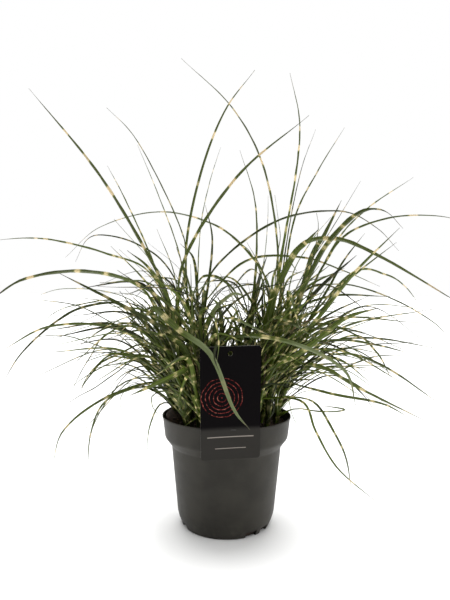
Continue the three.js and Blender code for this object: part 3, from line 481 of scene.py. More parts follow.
def is_above_pot(points):
    """Fine extra leaves keep above the soil, over the rim, and a little inside the clump's reach."""
    x, y, z = points.T
    radius = np.hypot(x, y)
    over_soil = radius < FINE_REACH["mouth"]
    over_rim = (radius >= FINE_REACH["mouth"]) & (radius < FINE_REACH["rim"])
    if (over_soil & (z < FINE_REACH["soil"])).any() or (over_rim & (z < FINE_REACH["over"])).any():
        return False
    if (abs(x) > FINE_REACH["side"]).any():
        return False
    if (y < FINE_REACH["front"]).any() or (y > FINE_REACH["back"]).any():
        return False
    return bool(((z > REACH["low"]) & (z < FINE_REACH["high"])).all())


def leaf_half_width(leaf, along, tip=LEAF_TIP_WIDTH):
    swell = np.minimum(1, LEAF_SWELL["foot"] + LEAF_SWELL["rate"] * along)
    taper = 1 - along**LEAF_TAPER
    return np.maximum(tip, leaf["width"] * swell * taper) / 2


def leaf_stations(leaf, steps):
    """Stations along a leaf: its centre, and the directions forward, across and out of its upper face."""
    along = np.arange(steps + 1) / steps
    centres = smooth_curve(leaf["points"], along)
    run = np.subtract(leaf["points"][-1], leaf["points"][0])
    level = unit(np.array([run[1], -run[0], 0.0]))
    place = np.arange(steps + 1)
    forward = unit(centres[np.minimum(place + 1, steps)] - centres[np.maximum(place - 1, 0)])
    flat = unit(level - forward * (forward @ level)[:, None])
    up = np.cross(flat, forward)
    turn = (leaf["turn"] * np.minimum(1, LEAF_TWIST["foot"] + LEAF_TWIST["rate"] * along))[:, None]
    across = flat * np.cos(turn) + up * np.sin(turn)
    out = up * np.cos(turn) - flat * np.sin(turn)
    return along, centres, forward, across, out


def leaf_length(leaf):
    points = np.asarray(leaf["points"], float)
    return float(np.linalg.norm(np.diff(points, axis=0), axis=1).sum())


def leaf_points(leaf):
    """Points spread over a leaf, close enough together to find what it would touch."""
    steps = math.ceil(leaf_length(leaf) / CHECK_SPACING["along"])
    along, centres, _, across, _ = leaf_stations(leaf, steps)
    half = leaf_half_width(leaf, along)
    points = []
    for centre, side, reach in zip(centres, across, half):
        lanes = math.ceil(reach / CHECK_SPACING["across"])
        for lane in range(-lanes, lanes + 1):
            points.append(centre + side * (reach * lane / lanes))
    return np.array(points)


def quick_leaf_points(leaf):
    """Points spread over a fine leaf, in a few even lanes."""
    steps = math.ceil(leaf_length(leaf) / CHECK_SPACING["along"])
    along, centres, _, across, _ = leaf_stations(leaf, steps)
    half = leaf_half_width(leaf, along)
    lanes = np.linspace(-1, 1, FINE_LANES)
    return (centres[:, None] + across[:, None] * (half[:, None] * lanes)[..., None]).reshape(-1, 3)


def culm_height(shoot):
    """How far a culm stands above the soil's edge."""
    return shoot["top"][2] - SOIL_EDGE_HEIGHT


def culm_points(shoot, places):
    foot = np.array([*shoot["foot"], soil_height(*shoot["foot"]) - CULM_DEPTH])
    top = np.array(shoot["top"], float)
    knee = foot + (top - foot) * CULM_KNEE["out"]
    knee[2] = foot[2] + (top[2] - foot[2]) * CULM_KNEE["up"]
    return smooth_curve([foot, knee, top], np.asarray(places, float))


def culm_tangents(shoot, places):
    places = np.asarray(places, float)
    return unit(culm_points(shoot, places + CULM_NUDGE) - culm_points(shoot, places - CULM_NUDGE))


def culm_radius(shoot, place):
    return shoot["culm"] + (FILLER_CULM["top"] - shoot["culm"]) * place


def culm_skin(shoot, places, sides, extra=0.0):
    """Rings of points round a culm."""
    centres = culm_points(shoot, places)
    forward = culm_tangents(shoot, places)
    first = unit(np.cross([0.0, 1.0, 0.0], forward))
    second = np.cross(forward, first)
    radius = culm_radius(shoot, np.asarray(places, float)) + extra
    angles = 2 * np.pi * np.arange(sides) / sides
    spokes = first[:, None] * np.cos(angles)[None, :, None]
    spokes = spokes + second[:, None] * np.sin(angles)[None, :, None]
    return centres[:, None] + spokes * radius[:, None, None]


def culm_checks(shoot):
    places = np.arange(CULM_CHECKS + 1) / CULM_CHECKS
    return culm_skin(shoot, places, CULM_SIDES).reshape(-1, 3)


def card_place():
    """The card's place: rolled in its own plane, leaned on the collar, turned a little and moved."""
    place = Matrix.Translation(CARD_CENTRE)
    place = place @ Matrix.Rotation(math.radians(CARD_YAW), 4, "Z")
    place = place @ Matrix.Rotation(math.radians(CARD_LEAN), 4, "X")
    return place @ Matrix.Rotation(-math.radians(CARD_ROLL), 4, "Y")


def even_places(start, end):
    """Places one check spacing apart, with the end among them where it falls on one."""
    return np.arange(start, end + PLACE_ROOM, CHECK_SPACING["along"])


def label_checks():
    place = np.array(card_place())
    across = even_places(-CARD_WIDTH / 2, CARD_WIDTH / 2)
    down = even_places(-CARD_HEIGHT / 2, CARD_HEIGHT / 2)
    card = np.array([(x, 0.0, z, 1.0) for x in across for z in down]) @ place.T
    widths = even_places(-TONGUE_WIDTH / 2, TONGUE_WIDTH / 2)
    runs = even_places(TONGUE_CARD_Y, TONGUE_BACK_Y)
    top = POT_HEIGHT + SEAT_GAP + TONGUE_THICKNESS
    return np.vstack([card[:, :3], [(TONGUE_X + x, y, top) for x in widths for y in runs]])


def direction(climb, bearing):
    level = math.cos(climb)
    return np.array([level * math.cos(bearing), level * math.sin(bearing), math.sin(climb)])


class Plant:
    """Leading shoots, then fillers, then short leaves, each clear of what came before."""

    LABEL_OWNER = 32000
    FIRST_LEAF_OWNER = 1000

    def __init__(self):
        self.claims = Claims()
        self.points_of = leaf_points
        self.is_within = is_within_reach
        self.halo = 1
        self.turn_span = FILLER_LEAF_TURN
        self.tries = FILLER_LEAF_TRIES
        self.leaf_owner = self.FIRST_LEAF_OWNER
        self.claims.claim(label_checks(), self.LABEL_OWNER)
        self.shoots = []
        for foot, top, culm, _ in LEADERS:
            shoot = {"foot": foot, "top": top, "culm": culm, "grown": [], "extras": LEADER_EXTRAS}
            self.shoots.append(shoot)
            self.claims.claim(culm_checks(shoot), len(self.shoots))
        for i, shoot in enumerate(self.shoots):
            for wanted in LEADERS[i][3]:
                leaf = self.long_leaf(shoot, wanted, i + 1)
                if leaf:
                    shoot["grown"].append(leaf)
        self.add_filler_shoots()
        for i, shoot in enumerate(self.shoots):
            for number in range(shoot["extras"]):
                seed = FOLIAGE_SEED + SEED_STRIDE["shoot"] * (i + 1) + SEED_STRIDE["leaf"] * number
                leaf = self.filler_leaf(shoot, seed, i + 1, FILLER_RULE)
                if leaf:
                    shoot["grown"].append(leaf)

    def settles(self, leaf, owner):
        """A leaf settles where it is clear. Only near its culm may it touch the shoot's other leaves."""
        spread = self.points_of(leaf)
        if not self.is_within(spread):
            return False
        away = np.linalg.norm(spread - leaf["points"][0], axis=1)
        near = spread[away < LEAF_SHEATH]
        far = spread[away >= LEAF_SHEATH]
        if not self.claims.is_clear(near, owner):
            return False
        if not self.claims.is_clear(far, owner, self.leaf_owner):
            return False
        self.claims.claim(near, owner, self.halo)
        if len(far):
            self.claims.claim(far, self.leaf_owner, self.halo)
        self.leaf_owner += 1
        return True

    def long_leaf(self, shoot, wanted, owner):
        """A long leaf is swung forwards or back, more at its tip, until it is clear of its neighbours."""
        width, turn, start_at, via = wanted
        for swing in range(LONG_LEAF_SWINGS):
            slide = LONG_LEAF_SLIDE["step"] * (swing % LONG_LEAF_SLIDE["count"])
            start = culm_points(shoot, [start_at - slide])[0]
            depth = (1 if swing % 2 else -1) * math.ceil(swing / 2) * LONG_LEAF_SWING
            points = [start]
            for i, (x, y, z) in enumerate(via):
                points.append(np.array([x, y + depth * (i + 1) / len(via), z]))
            leaf = {"width": width, "turn": turn, "points": points, "from": start_at - slide}
            if self.settles(leaf, owner):
                return leaf
        return None

    def add_filler_shoots(self):
        for number, (count, radius) in enumerate(FILLER_RINGS):
            for place in range(count):
                seed = FOLIAGE_SEED + SEED_STRIDE["ring"] * (number + 1) + SEED_STRIDE["place"] * place
                shoot = self.filler_shoot(count, radius, place, seed)
                if shoot:
                    self.shoots.append(shoot)
                    self.claims.claim(culm_checks(shoot), len(self.shoots))

    def filler_shoot(self, count, ring_radius, place, seed):
        for attempt in range(FOOT_TRIES):
            draw = draws(seed + attempt).__next__
            bearing = 2 * math.pi * (place + FILLER_STRAY["turn"] * draw()) / count
            radius = ring_radius + FILLER_STRAY["out"] * draw()
            foot = (radius * math.cos(bearing), radius * math.sin(bearing))
            outward = FILLER_LEAN["middle"] + FILLER_LEAN["rim"] * (radius / RIM_RADIUS)
            lean = outward + FILLER_LEAN["spread"] * (draw() - 0.5)
            heading = bearing + FILLER_HEADING_SPREAD * (draw() - 0.5)
            tall = between(draw, FILLER_HEIGHT)
            top = (
                foot[0] + tall * lean * math.cos(heading),
                foot[1] + tall * lean * math.sin(heading),
                SOIL_EDGE_HEIGHT + tall,
            )
            shoot = {"foot": foot, "top": top, "culm": FILLER_CULM["foot"], "grown": []}
            shoot["extras"] = FILLER_LEAVES
            gaps = [math.hypot(s["foot"][0] - foot[0], s["foot"][1] - foot[1]) for s in self.shoots]
            is_clear = self.claims.is_clear(culm_checks(shoot), len(self.shoots) + 1)
            if min(gaps) > FOOT_SPACING and is_clear:
                return shoot
        return None

    def filler_leaf(self, shoot, seed, owner, rule):
        """A filler leaf is drawn by the rule again and again until it is clear."""
        for attempt in range(self.tries):
            leaf = self.drawn_leaf(shoot, draws(seed + attempt).__next__, rule)
            if self.settles(leaf, owner):
                return leaf
        return None

    def drawn_leaf(self, shoot, draw, rule):
        """A drawn leaf leaves its culm at some bearing and bends over."""
        heading = math.atan2(shoot["top"][1] - shoot["foot"][1], shoot["top"][0] - shoot["foot"][0])
        first, second, third = rule["kinds"]
        pick = draw()
        kind = first
        if pick > first["share"]:
            kind = second
        if pick > first["share"] + second["share"]:
            kind = third
        length = between(draw, kind["length"])
        rise = math.radians(between(draw, kind["rise"]))
        fall = math.radians(between(draw, kind["fall"]))
        bearing = heading + rule["fan"] * (draw() - 0.5)
        veer = bearing + FILLER_LEAF_VEER * (draw() - 0.5)
        start_at = between(draw, rule["from"])
        start = culm_points(shoot, [start_at])[0]
        middle = start + direction(rise, bearing) * (length / 2)
        tip = middle + direction(fall, veer) * (length / 2)
        leaf = {"width": between(draw, kind["width"]), "points": [start, middle, tip], "from": start_at}
        leaf["turn"] = self.turn_span * (draw() - 0.5)
        return leaf

    def add_fine_leaves(self):
        """Fine leaves go between the ones that the solids have, on a finer grid."""
        self.claims = Claims(FINE_CELL)
        self.points_of = quick_leaf_points
        self.is_within = is_above_pot
        self.halo = 0
        self.turn_span = FINE_LEAF_TURN
        self.tries = FINE_TRIES
        self.claims.claim(label_checks(), self.LABEL_OWNER)
        for i, shoot in enumerate(self.shoots):
            self.claims.claim(culm_checks(shoot), i + 1, self.halo)
            for leaf in shoot["grown"]:
                self.claims.claim(quick_leaf_points(leaf), i + 1, self.halo)
        for owner, dry, width, start_at, via in STRAYS:
            shoot = self.shoots[owner - 1]
            leaf = self.long_leaf(shoot, (width, STRAY_TURN, start_at, via), owner)
            if leaf:
                leaf["fine"] = True
                leaf["dry"] = float(dry)
                shoot["grown"].append(leaf)
        for number, rule in enumerate(EXTRA_LEAVES):
            for i, shoot in enumerate(self.shoots):
                self.add_extras(shoot, i + 1, rule, SEED_STRIDE["kind"] * number)

    def add_extras(self, shoot, owner, rule, first):
        """The extra leaves of one kind that a shoot has room for. Shoots on the right have a few more."""
        more = rule["right"] if shoot["foot"][0] > RIGHT_SIDE else 0
        for place in range(rule["count"] + more):
            seed = FINE_SEED + SEED_STRIDE["shoot"] * owner + SEED_STRIDE["leaf"] * (first + place)
            leaf = self.filler_leaf(shoot, seed, owner, rule)
            if leaf:
                leaf["fine"] = True
                if draws(seed).__next__() < rule["dry"]:
                    leaf["dry"] = 1.0
                    leaf["width"] = min(leaf["width"], DRY_WIDTH)
                shoot["grown"].append(leaf)


# Meshes

def add_object(name, data):
    thing = bpy.data.objects.new(name, data)
    bpy.context.scene.collection.objects.link(thing)
    return thing


def build_object(name, vertices, faces, materials, attributes=None, uv=None, sharp=40.0):
    """A mesh object from points in millimetres, smooth but for edges that bend past the sharp angle."""
    mesh = bpy.data.meshes.new(name)
    mesh.from_pydata((np.asarray(vertices, float) * MM).tolist(), [], faces)
    for material in materials:
        mesh.materials.append(material)
    for key, values in (attributes or {}).items():
        attribute = mesh.attributes.new(key, "FLOAT_VECTOR", "POINT")
        attribute.data.foreach_set("vector", np.asarray(values, np.float32).ravel())
    if uv is not None:
        layer = mesh.uv_layers.new(name="OFBake")
        layer.uv.foreach_set("vector", np.asarray(uv, np.float32).ravel())
    mesh.polygons.foreach_set("use_smooth", [True] * len(mesh.polygons))
    mesh.set_sharp_from_angle(angle=math.radians(sharp))
    return add_object(name, mesh)


def stand_for(piece, slot, *nodes):
    """The piece rides with the plant and replaces the nodes, which it hides. The slot is not used."""
    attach(piece, "root")
    if nodes:
        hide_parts(*nodes)
    return piece


def smooth_step(low, high, value):
    share = np.clip((value - low) / (high - low), 0, 1)
    return share * share * (3 - 2 * share)


# Fine leaves: a folded blade that grows out of a sheath wrapped round its culm

MAIN_BLADE = {"lanes": 9, "step": 8.0, "sheath": 6, "foot": 12}
FINE_BLADE = {"lanes": 5, "step": 9.0, "sheath": 4, "foot": 8}
LEAST_STEPS = {"blade": 12, "culm": 10}
FOOT_FINENESS = 4
LEAF_SEED = {"x": 1000, "z": 37, "rank": 11}
FULL_TURN = 6.28

# Sheath: its length, how far round the culm it reaches, and how it stands off the culm over other sheaths
SHEATH_LENGTH = (14.0, 34.0)
SHEATH_WRAP = math.radians(150)
SHEATH_SHARE = {"culm": 0.5, "width": 0.8, "thickness": 0.8}
SHEATH_STAND = {"first": 0.25, "layer": 0.1, "layers": 5, "sink": 0.1}
UNROLL = {"length": 16.0, "ease": 1.5}
LEAST_WRAP = 1e-3

# Blade: how it is folded along its midrib, how thick it is, and how its margins wave
BLADE_FOLD = (0.28, 0.6)
FOLD_EASE = 0.5
BLADE_THICKNESS = {"midrib": 0.5, "margin": 0.16, "tip": 0.25, "ease": 1.5}
BLADE_TIP_WIDTH = 0.5
MARGIN_WAVE = {"height": 0.28, "length": 31.0, "full": 3.0}

# Bands: how far apart they are near a leaf's foot and further out, and how ragged their ends are
BAND_SPACING = {"foot": (12.0, 21.0), "out": (40.0, 62.0)}
BAND_SPREAD_LENGTH = 250.0
BAND_RAGGED = {"foot": 4.2, "out": 1.2}
BAND_ROWS = 1000

# Tones: how far the fresh green reaches, the darkest and lightest leaves (fine leaves take lower tones, so
# more of the painted shade), and what a pale leaf changes
FRESH_LENGTH = (40.0, 230.0)
FINE_TONE = (0.0, 0.75)
MAIN_TONE = (0.25, 1.0)
PALE_CHANGE = {"tone": 2.0, "bands": 0.85}


def beside(centres, across, out, sideways, lift):
    """Points beside each centre, so far across it and so far out of it."""
    return centres[:, None] + across[:, None] * sideways[..., None] + out[:, None] * lift[..., None]


def blade_sections(centres, across, out, half, wrap, fold, thickness, phase, distance, count):
    """Rings of points round a blade: its upper face from side to side, then its lower face back again."""
    lanes = np.linspace(-1, 1, count)
    wrap = np.maximum(wrap, LEAST_WRAP)[:, None]
    radius = half[:, None] / wrap
    angle = lanes[None] * wrap
    sideways = radius * np.sin(angle)
    lift = radius * (1 - np.cos(angle)) + abs(lanes[None]) * half[:, None] * fold[:, None]
    wave = MARGIN_WAVE["height"] * np.minimum(1, half / MARGIN_WAVE["full"])[:, None] * lanes[None] ** 2
    waves = 2 * np.pi * distance[:, None] / MARGIN_WAVE["length"]
    lift = lift + wave * np.sin(waves + phase + lanes[None])
    thin = BLADE_THICKNESS["margin"] / BLADE_THICKNESS["midrib"]
    depth = thickness[:, None] * (thin + (1 - thin) * (1 - abs(lanes[None])) ** BLADE_THICKNESS["ease"])
    depth[:, 0] = depth[:, -1] = 0.0
    upper = beside(centres, across, out, sideways, lift)
    lower = beside(centres, across, out, sideways + np.sin(angle) * depth, lift - np.cos(angle) * depth)
    return np.concatenate([upper, lower[:, -2:0:-1]], axis=1)


def chosen_stations(steps, foot):
    """Stations close together where the blade leaves its culm, and a step apart further on."""
    last = steps * FOOT_FINENESS
    return np.concatenate([np.arange(foot), np.arange(foot, last + 1, FOOT_FINENESS)])


def column(values):
    return np.asarray(values)[:, None]


def spread(rings, *values):
    """Three facts, each one number or one for every ring or lane, as a vector at every point."""
    count = rings.shape[:2]
    return np.stack([np.broadcast_to(value, count) for value in values], axis=-1).reshape(-1, 3)


def band_facts(distance, draw):
    """The number of bands up to each place along a leaf, how far apart they are there, and how ragged."""
    near = between(draw, BAND_SPACING["foot"])
    far = between(draw, BAND_SPACING["out"])
    share = smooth_step(0, BAND_SPREAD_LENGTH, distance)
    spacing = near + (far - near) * share
    steps = np.diff(distance) / ((spacing[1:] + spacing[:-1]) / 2)
    phase = BAND_ROWS * draw() + np.concatenate([[0], np.cumsum(steps)])
    ragged = BAND_RAGGED["foot"] + (BAND_RAGGED["out"] - BAND_RAGGED["foot"]) * share
    return phase, spacing, ragged


def leaf_facts(leaf, rings, lanes, half, distance, draw):
    """What a leaf's colours are worked out from, at every point of its rings."""
    around = np.concatenate([lanes, lanes[-2:0:-1]])
    fresh = 1 - smooth_step(*FRESH_LENGTH, distance)
    share = np.clip(distance / leaf_length(leaf), 0, 1)
    pale = leaf.get("pale", 0.0) * smooth_step(*PALE_FROM, share)
    tone = between(draw, FINE_TONE if leaf.get("fine") else MAIN_TONE) + PALE_CHANGE["tone"] * pale
    return {
        "span": spread(rings, around[None], column(distance), column(half)),
        "bands": spread(rings, *(column(values) for values in band_facts(distance, draw))),
        "look": spread(rings, column(tone), leaf.get("dry", 0.0), column(share)),
        "kind": spread(rings, column(fresh), column(1 - PALE_CHANGE["bands"] * pale), draw()),
    }


def fine_leaf(shoot, leaf, rank):
    """A leaf's rings, from the foot of its sheath to its tip, and the facts that its colours use."""
    detail = FINE_BLADE if leaf.get("fine") else MAIN_BLADE
    tip = leaf["points"][-1]
    seed = int(LEAF_SEED["x"] * tip[0] + LEAF_SEED["z"] * tip[2]) + LEAF_SEED["rank"] * rank
    draw = draws(seed).__next__
    length = leaf_length(leaf)
    steps = max(LEAST_STEPS["blade"], round(length / detail["step"]))
    chosen = chosen_stations(steps, detail["foot"])
    along, centres, _, across, out = (part[chosen] for part in leaf_stations(leaf, steps * FOOT_FINENESS))
    distance = along * length

    # The sheath follows the culm below the leaf, opened towards the far side
    longest = SHEATH_SHARE["culm"] * leaf["from"] * culm_height(shoot)
    sheath = min(between(draw, SHEATH_LENGTH), longest)
    before = sheath * np.linspace(1, 0, detail["sheath"], endpoint=False)
    below = leaf["from"] - before / (culm_height(shoot) + CULM_DEPTH)
    axis = culm_points(shoot, below)
    up_culm = culm_tangents(shoot, below)
    leaving = unit(centres[detail["foot"]] - centres[0])
    outward = unit(leaving - up_culm * (up_culm @ leaving)[:, None])
    sideways = np.cross(outward, up_culm)
    if sideways[-1] @ across[0] < 0:
        across, out = -across, -out
    layers = SHEATH_STAND["layer"] * min(rank, SHEATH_STAND["layers"])
    stand = culm_radius(shoot, below) + SHEATH_STAND["first"] + layers
    stand[0] = culm_radius(shoot, below[0]) - SHEATH_STAND["sink"]
    sheath_centres = axis + outward * stand[:, None]

    # Over its first stretch the blade unrolls, and its midrib moves in from the culm's face
    unrolled = smooth_step(0, UNROLL["length"], distance)
    rolled = 1 - unrolled
    frame_across = unit(across * unrolled[:, None] + sideways[-1] * rolled[:, None])
    frame_out = out * unrolled[:, None] - outward[-1] * rolled[:, None]
    frame_out = unit(frame_out - frame_across * (frame_out * frame_across).sum(1)[:, None])
    shift = rolled[:, None] * outward[-1] * stand[-1]
    half = leaf_half_width(leaf, along, BLADE_TIP_WIDTH)
    wrapped = stand[-1] * SHEATH_WRAP
    rolled_half = np.minimum(wrapped, np.maximum(half, wrapped * SHEATH_SHARE["width"]))
    half = half * unrolled + rolled_half * rolled

    flat = np.zeros(detail["sheath"])
    fold = np.concatenate([flat, between(draw, BLADE_FOLD) * unrolled * (1 - FOLD_EASE * along)])
    wrap = np.concatenate([flat + SHEATH_WRAP, SHEATH_WRAP * rolled ** UNROLL["ease"]])
    midrib = BLADE_THICKNESS["midrib"]
    thick = midrib + (BLADE_THICKNESS["tip"] - midrib) * along
    thick = np.concatenate([flat + SHEATH_SHARE["thickness"] * midrib, thick])
    all_half = np.concatenate([stand * SHEATH_WRAP, half])
    all_distance = np.concatenate([-before, distance])
    rings = blade_sections(
        np.vstack([sheath_centres, centres + shift]),
        np.vstack([sideways, frame_across]),
        np.vstack([-outward, frame_out]),
        all_half,
        wrap,
        fold,
        thick,
        FULL_TURN * draw(),
        all_distance,
        detail["lanes"],
    )
    lanes = np.linspace(-1, 1, detail["lanes"])
    return rings, leaf_facts(leaf, rings, lanes, all_half, all_distance, draw)


# Fine culms: round, with a swelling at each joint

FINE_CULM_SIDES = 14
FINE_CULM_SEED = 500
CULM_STEP = 5.0
CULM_JOINT_SPACING = 34.0
CULM_JOINT = {"height": 0.35, "length": 2.2}
CULM_SINK = {"skin": 0.05, "top": 0.6}
CULM_BANDS = {"spacing": 31.0, "ragged": 2.5, "strength": 0.6}


def fine_culm(shoot, seed):
    draw = draws(seed).__next__
    length = culm_height(shoot) + CULM_DEPTH
    steps = max(LEAST_STEPS["culm"], round(length / CULM_STEP))
    places = np.arange(steps + 1) / steps
    distance = places * length
    first_joint = CULM_JOINT_SPACING * draw()
    half_gap = CULM_JOINT_SPACING / 2
    to_joint = abs((distance - first_joint + half_gap) % CULM_JOINT_SPACING - half_gap)
    extra = CULM_JOINT["height"] * np.exp(-((to_joint / CULM_JOINT["length"]) ** 2)) - CULM_SINK["skin"]
    extra[-1] = -CULM_SINK["top"]
    rings = culm_skin(shoot, places, FINE_CULM_SIDES, extra)
    around = abs(np.linspace(-1, 1, FINE_CULM_SIDES, endpoint=False))
    phase = distance / CULM_BANDS["spacing"] + BAND_ROWS * draw()
    facts = {
        "span": spread(rings, around[None], column(distance), shoot["culm"]),
        "bands": spread(rings, column(phase), CULM_BANDS["spacing"], CULM_BANDS["ragged"]),
        "look": spread(rings, draw(), 0.0, 0.0),
        "kind": spread(rings, 1.0, CULM_BANDS["strength"], draw()),
    }
    return rings, facts


# Map of a shoot's skin: the room beside each strip and at both ends of its rings, and its end caps' depth
STRIP_MARGIN = 0.06
MAP_MARGIN = 0.02
MAP_END = 0.012


def strip_faces(start, steps, sides, strip, strips):
    """Faces and map places of one closed strip: the strip lies across the map, its rings side by side."""
    faces = []
    uv = []
    low = (strip + STRIP_MARGIN) / strips
    high = (strip + 1 - STRIP_MARGIN) / strips
    columns = (MAP_MARGIN + (1 - 2 * MAP_MARGIN) * np.arange(steps + 1) / steps).tolist()
    rows = (low + (high - low) * np.arange(sides + 1) / sides).tolist()
    for ring in range(steps):
        for side in range(sides):
            a = start + ring * sides + side
            b = start + ring * sides + (side + 1) % sides
            faces.append((a, b, b + sides, a + sides))
            u, v = columns[ring], rows[side]
            w, t = columns[ring + 1], rows[side + 1]
            uv += [(u, v), (u, t), (w, t), (w, v)]
    for end, edge, inner in ((0, 0.0, MAP_END), (steps, 1.0, 1 - MAP_END)):
        base = start + end * sides
        for side in range(sides // 2):
            near = [side, side + 1]
            far = [(sides - side - 1) % sides, (sides - side) % sides]
            corners = near + far if end else [far[1], far[0], near[1], near[0]]
            places = {near[0]: (inner, rows[side]), near[1]: (inner, rows[side + 1])}
            places[far[0]] = places.get(far[0], (edge, rows[side + 1]))
            places[far[1]] = places.get(far[1], (edge, rows[side]))
            ordered = list(dict.fromkeys(corners))
            faces.append(tuple(base + corner for corner in ordered))
            uv += [places[corner] for corner in ordered]
    return faces, uv


def strips_object(name, parts, material):
    """One object of several closed strips, each given as its rings and its facts."""
    vertices = np.vstack([rings.reshape(-1, 3) for rings, _ in parts])
    joined = {key: np.vstack([facts[key] for _, facts in parts]) for key in parts[0][1]}
    faces = []
    uv = []
    start = 0
    for strip, (rings, _) in enumerate(parts):
        count, sides = rings.shape[:2]
        more, places = strip_faces(start, count - 1, sides, strip, len(parts))
        faces += more
        uv += places
        start += count * sides
    return build_object(name, vertices, faces, [material], attributes=joined, uv=uv, sharp=55.0)


# Materials

class Paint:
    """A node material with short calls for its maths."""

    def __init__(self, name, roughness):
        self.material = bpy.data.materials.new(name)
        self.material.use_nodes = True
        self.tree = self.material.node_tree
        self.shader = self.tree.nodes["Principled BSDF"]
        self.shader.inputs["Roughness"].default_value = roughness

    def add(self, kind, *values, **settings):
        node = self.tree.nodes.new(kind)
        for key, value in settings.items():
            setattr(node, key, value)
        for socket, value in zip(node.inputs, values):
            self.put(value, socket)
        return node

    def put(self, value, socket):
        if isinstance(value, bpy.types.NodeSocket):
            self.tree.links.new(value, socket)
        elif isinstance(value, tuple) and len(value) == 3 and socket.type == "RGBA":
            socket.default_value = (*value, 1.0)
        else:
            socket.default_value = value

    def maths(self, operation, *values):
        return self.add("ShaderNodeMath", *values, operation=operation).outputs[0]

    def times(self, first, second):
        return self.maths("MULTIPLY", first, second)

    def plus(self, first, second):
        return self.maths("ADD", first, second)

    def minus(self, first, second):
        return self.maths("SUBTRACT", first, second)

    def over(self, first, second):
        return self.maths("DIVIDE", first, second)

    def line(self, value, rate, start):
        """The value times the rate, counted from the start."""
        return self.maths("MULTIPLY_ADD", value, rate, start)

    def size(self, value):
        return self.maths("ABSOLUTE", value)

    def step(self, value, low, high, start=0.0, end=1.0):
        """Eases from start to end as the value goes from low to high."""
        node = self.add("ShaderNodeMapRange", value, low, high, start, end, interpolation_type="SMOOTHSTEP")
        return node.outputs[0]

    def blend(self, share, first, second):
        node = self.add("ShaderNodeMix", data_type="RGBA", blend_type="MIX")
        self.put(share, node.inputs["Factor"])
        self.put(first, node.inputs[6])
        self.put(second, node.inputs[7])
        return node.outputs[2]

    def facts(self, name):
        vector = self.add("ShaderNodeAttribute", attribute_name=name).outputs["Vector"]
        return self.add("ShaderNodeSeparateXYZ", vector).outputs

    def place(self):
        return self.add("ShaderNodeTexCoord").outputs["Object"]

    def noise(self, vector, scale, detail=3.0, roughness=0.5):
        node = self.add("ShaderNodeTexNoise")
        self.put(vector, node.inputs["Vector"])
        self.put(scale, node.inputs["Scale"])
        self.put(detail, node.inputs["Detail"])
        self.put(roughness, node.inputs["Roughness"])
        return node.outputs[0]

    def vector(self, x, y, z):
        return self.add("ShaderNodeCombineXYZ", x, y, z).outputs[0]

    def bump(self, height, strength, distance):
        node = self.add("ShaderNodeBump")
        self.put(strength, node.inputs["Strength"])
        self.put(distance, node.inputs["Distance"])
        self.put(height, node.inputs["Height"])
        self.put(node.outputs[0], self.shader.inputs["Normal"])

    def colour(self, value):
        self.put(value, self.shader.inputs["Base Color"])

    def roughness(self, value):
        self.put(value, self.shader.inputs["Roughness"])

    def specular(self, value):
        self.put(value, self.shader.inputs["Specular IOR Level"])


# Leaf colours. LEAF_SHADE is near-black painted shade for leaves deep in the clump.
LEAF_SHADE = (0.003, 0.005, 0.001)
LEAF_OLIVE = (0.020, 0.026, 0.004)
LEAF_GREEN = (0.046, 0.066, 0.006)
LEAF_FRESH = (0.096, 0.146, 0.010)
LEAF_LIGHT = (0.140, 0.172, 0.055)
LEAF_SILVER = (0.200, 0.240, 0.120)
LEAF_YELLOW = (0.250, 0.265, 0.055)
BAND_TAN = (0.720, 0.570, 0.330)
BAND_CREAM = (0.860, 0.790, 0.340)
DRY_TAN = (0.300, 0.200, 0.100)
DRY_PINK = (0.260, 0.150, 0.090)
TIP_GREY = (0.090, 0.085, 0.060)

# Where a leaf's colours change: a value's low and high end, and the share of the colour at each of them
BAND_EDGE = (-0.9, 0.9, 1.0, 0.0)
BAND_HALO = (0.0, 4.0, 0.45, 0.0)
BAND_CLEAR = (0.0, 0.5, 0.55, 1.0)
BAND_TEAR = (0.4, 0.56)
AGED_TONE = (0.5, 1.5)
YOUNG_CLOUDS = (0.3, 0.7)
VEIN_TONE = (0.2, 1.0, 0.0, 0.16)
# The next two give the painted sheen on one half of each blade: where it fades across the lanes, and the
# leaf tones over which it comes in
SHEEN_HALF_SIDE = (-0.15, 0.15, 0.40, 0.0)
SHEEN_HALF_TONES = (0.2, 0.8)
SILVER_TONE = (0.9, 2.2, 0.0, 0.85)
RIB_TONE = (0.16, 0.42, 0.5, 0.0)
TIP_TONE = (0.90, 1.04, 0.0, 0.8)
SHADE_TONE = (0.0, 0.62, 0.80, 0.0)

# How fine a leaf's streaks, torn places, clouds and veins are, and how far apart leaves lie in their noise
STREAKS = {"across": 1.6, "along": 0.08}
TEARS = {"across": 2.4, "along": 0.22}
CLOUDS = {"along": 0.03, "scale": 0.6, "tips": 0.12}
VEINS = {"across": 9.0, "relief": 0.3}
LEAVES_APART = 300.0

# Bands: half their width as a share of their spacing, how many are missing, and what fresh green changes
BAND_HALF = {"least": 0.065, "more": 0.06, "fresh": -0.12}
BAND_MISSING = {"out": 0.15, "fresh": 0.04}
BAND_WHOLE_FRESH = -0.75
BAND_UNEVEN = 0.8
BAND_FRAY = 2.6
# How much of the painted sheen half the fresh green near the crown takes away
SHEEN_HALF_FRESH = -0.7


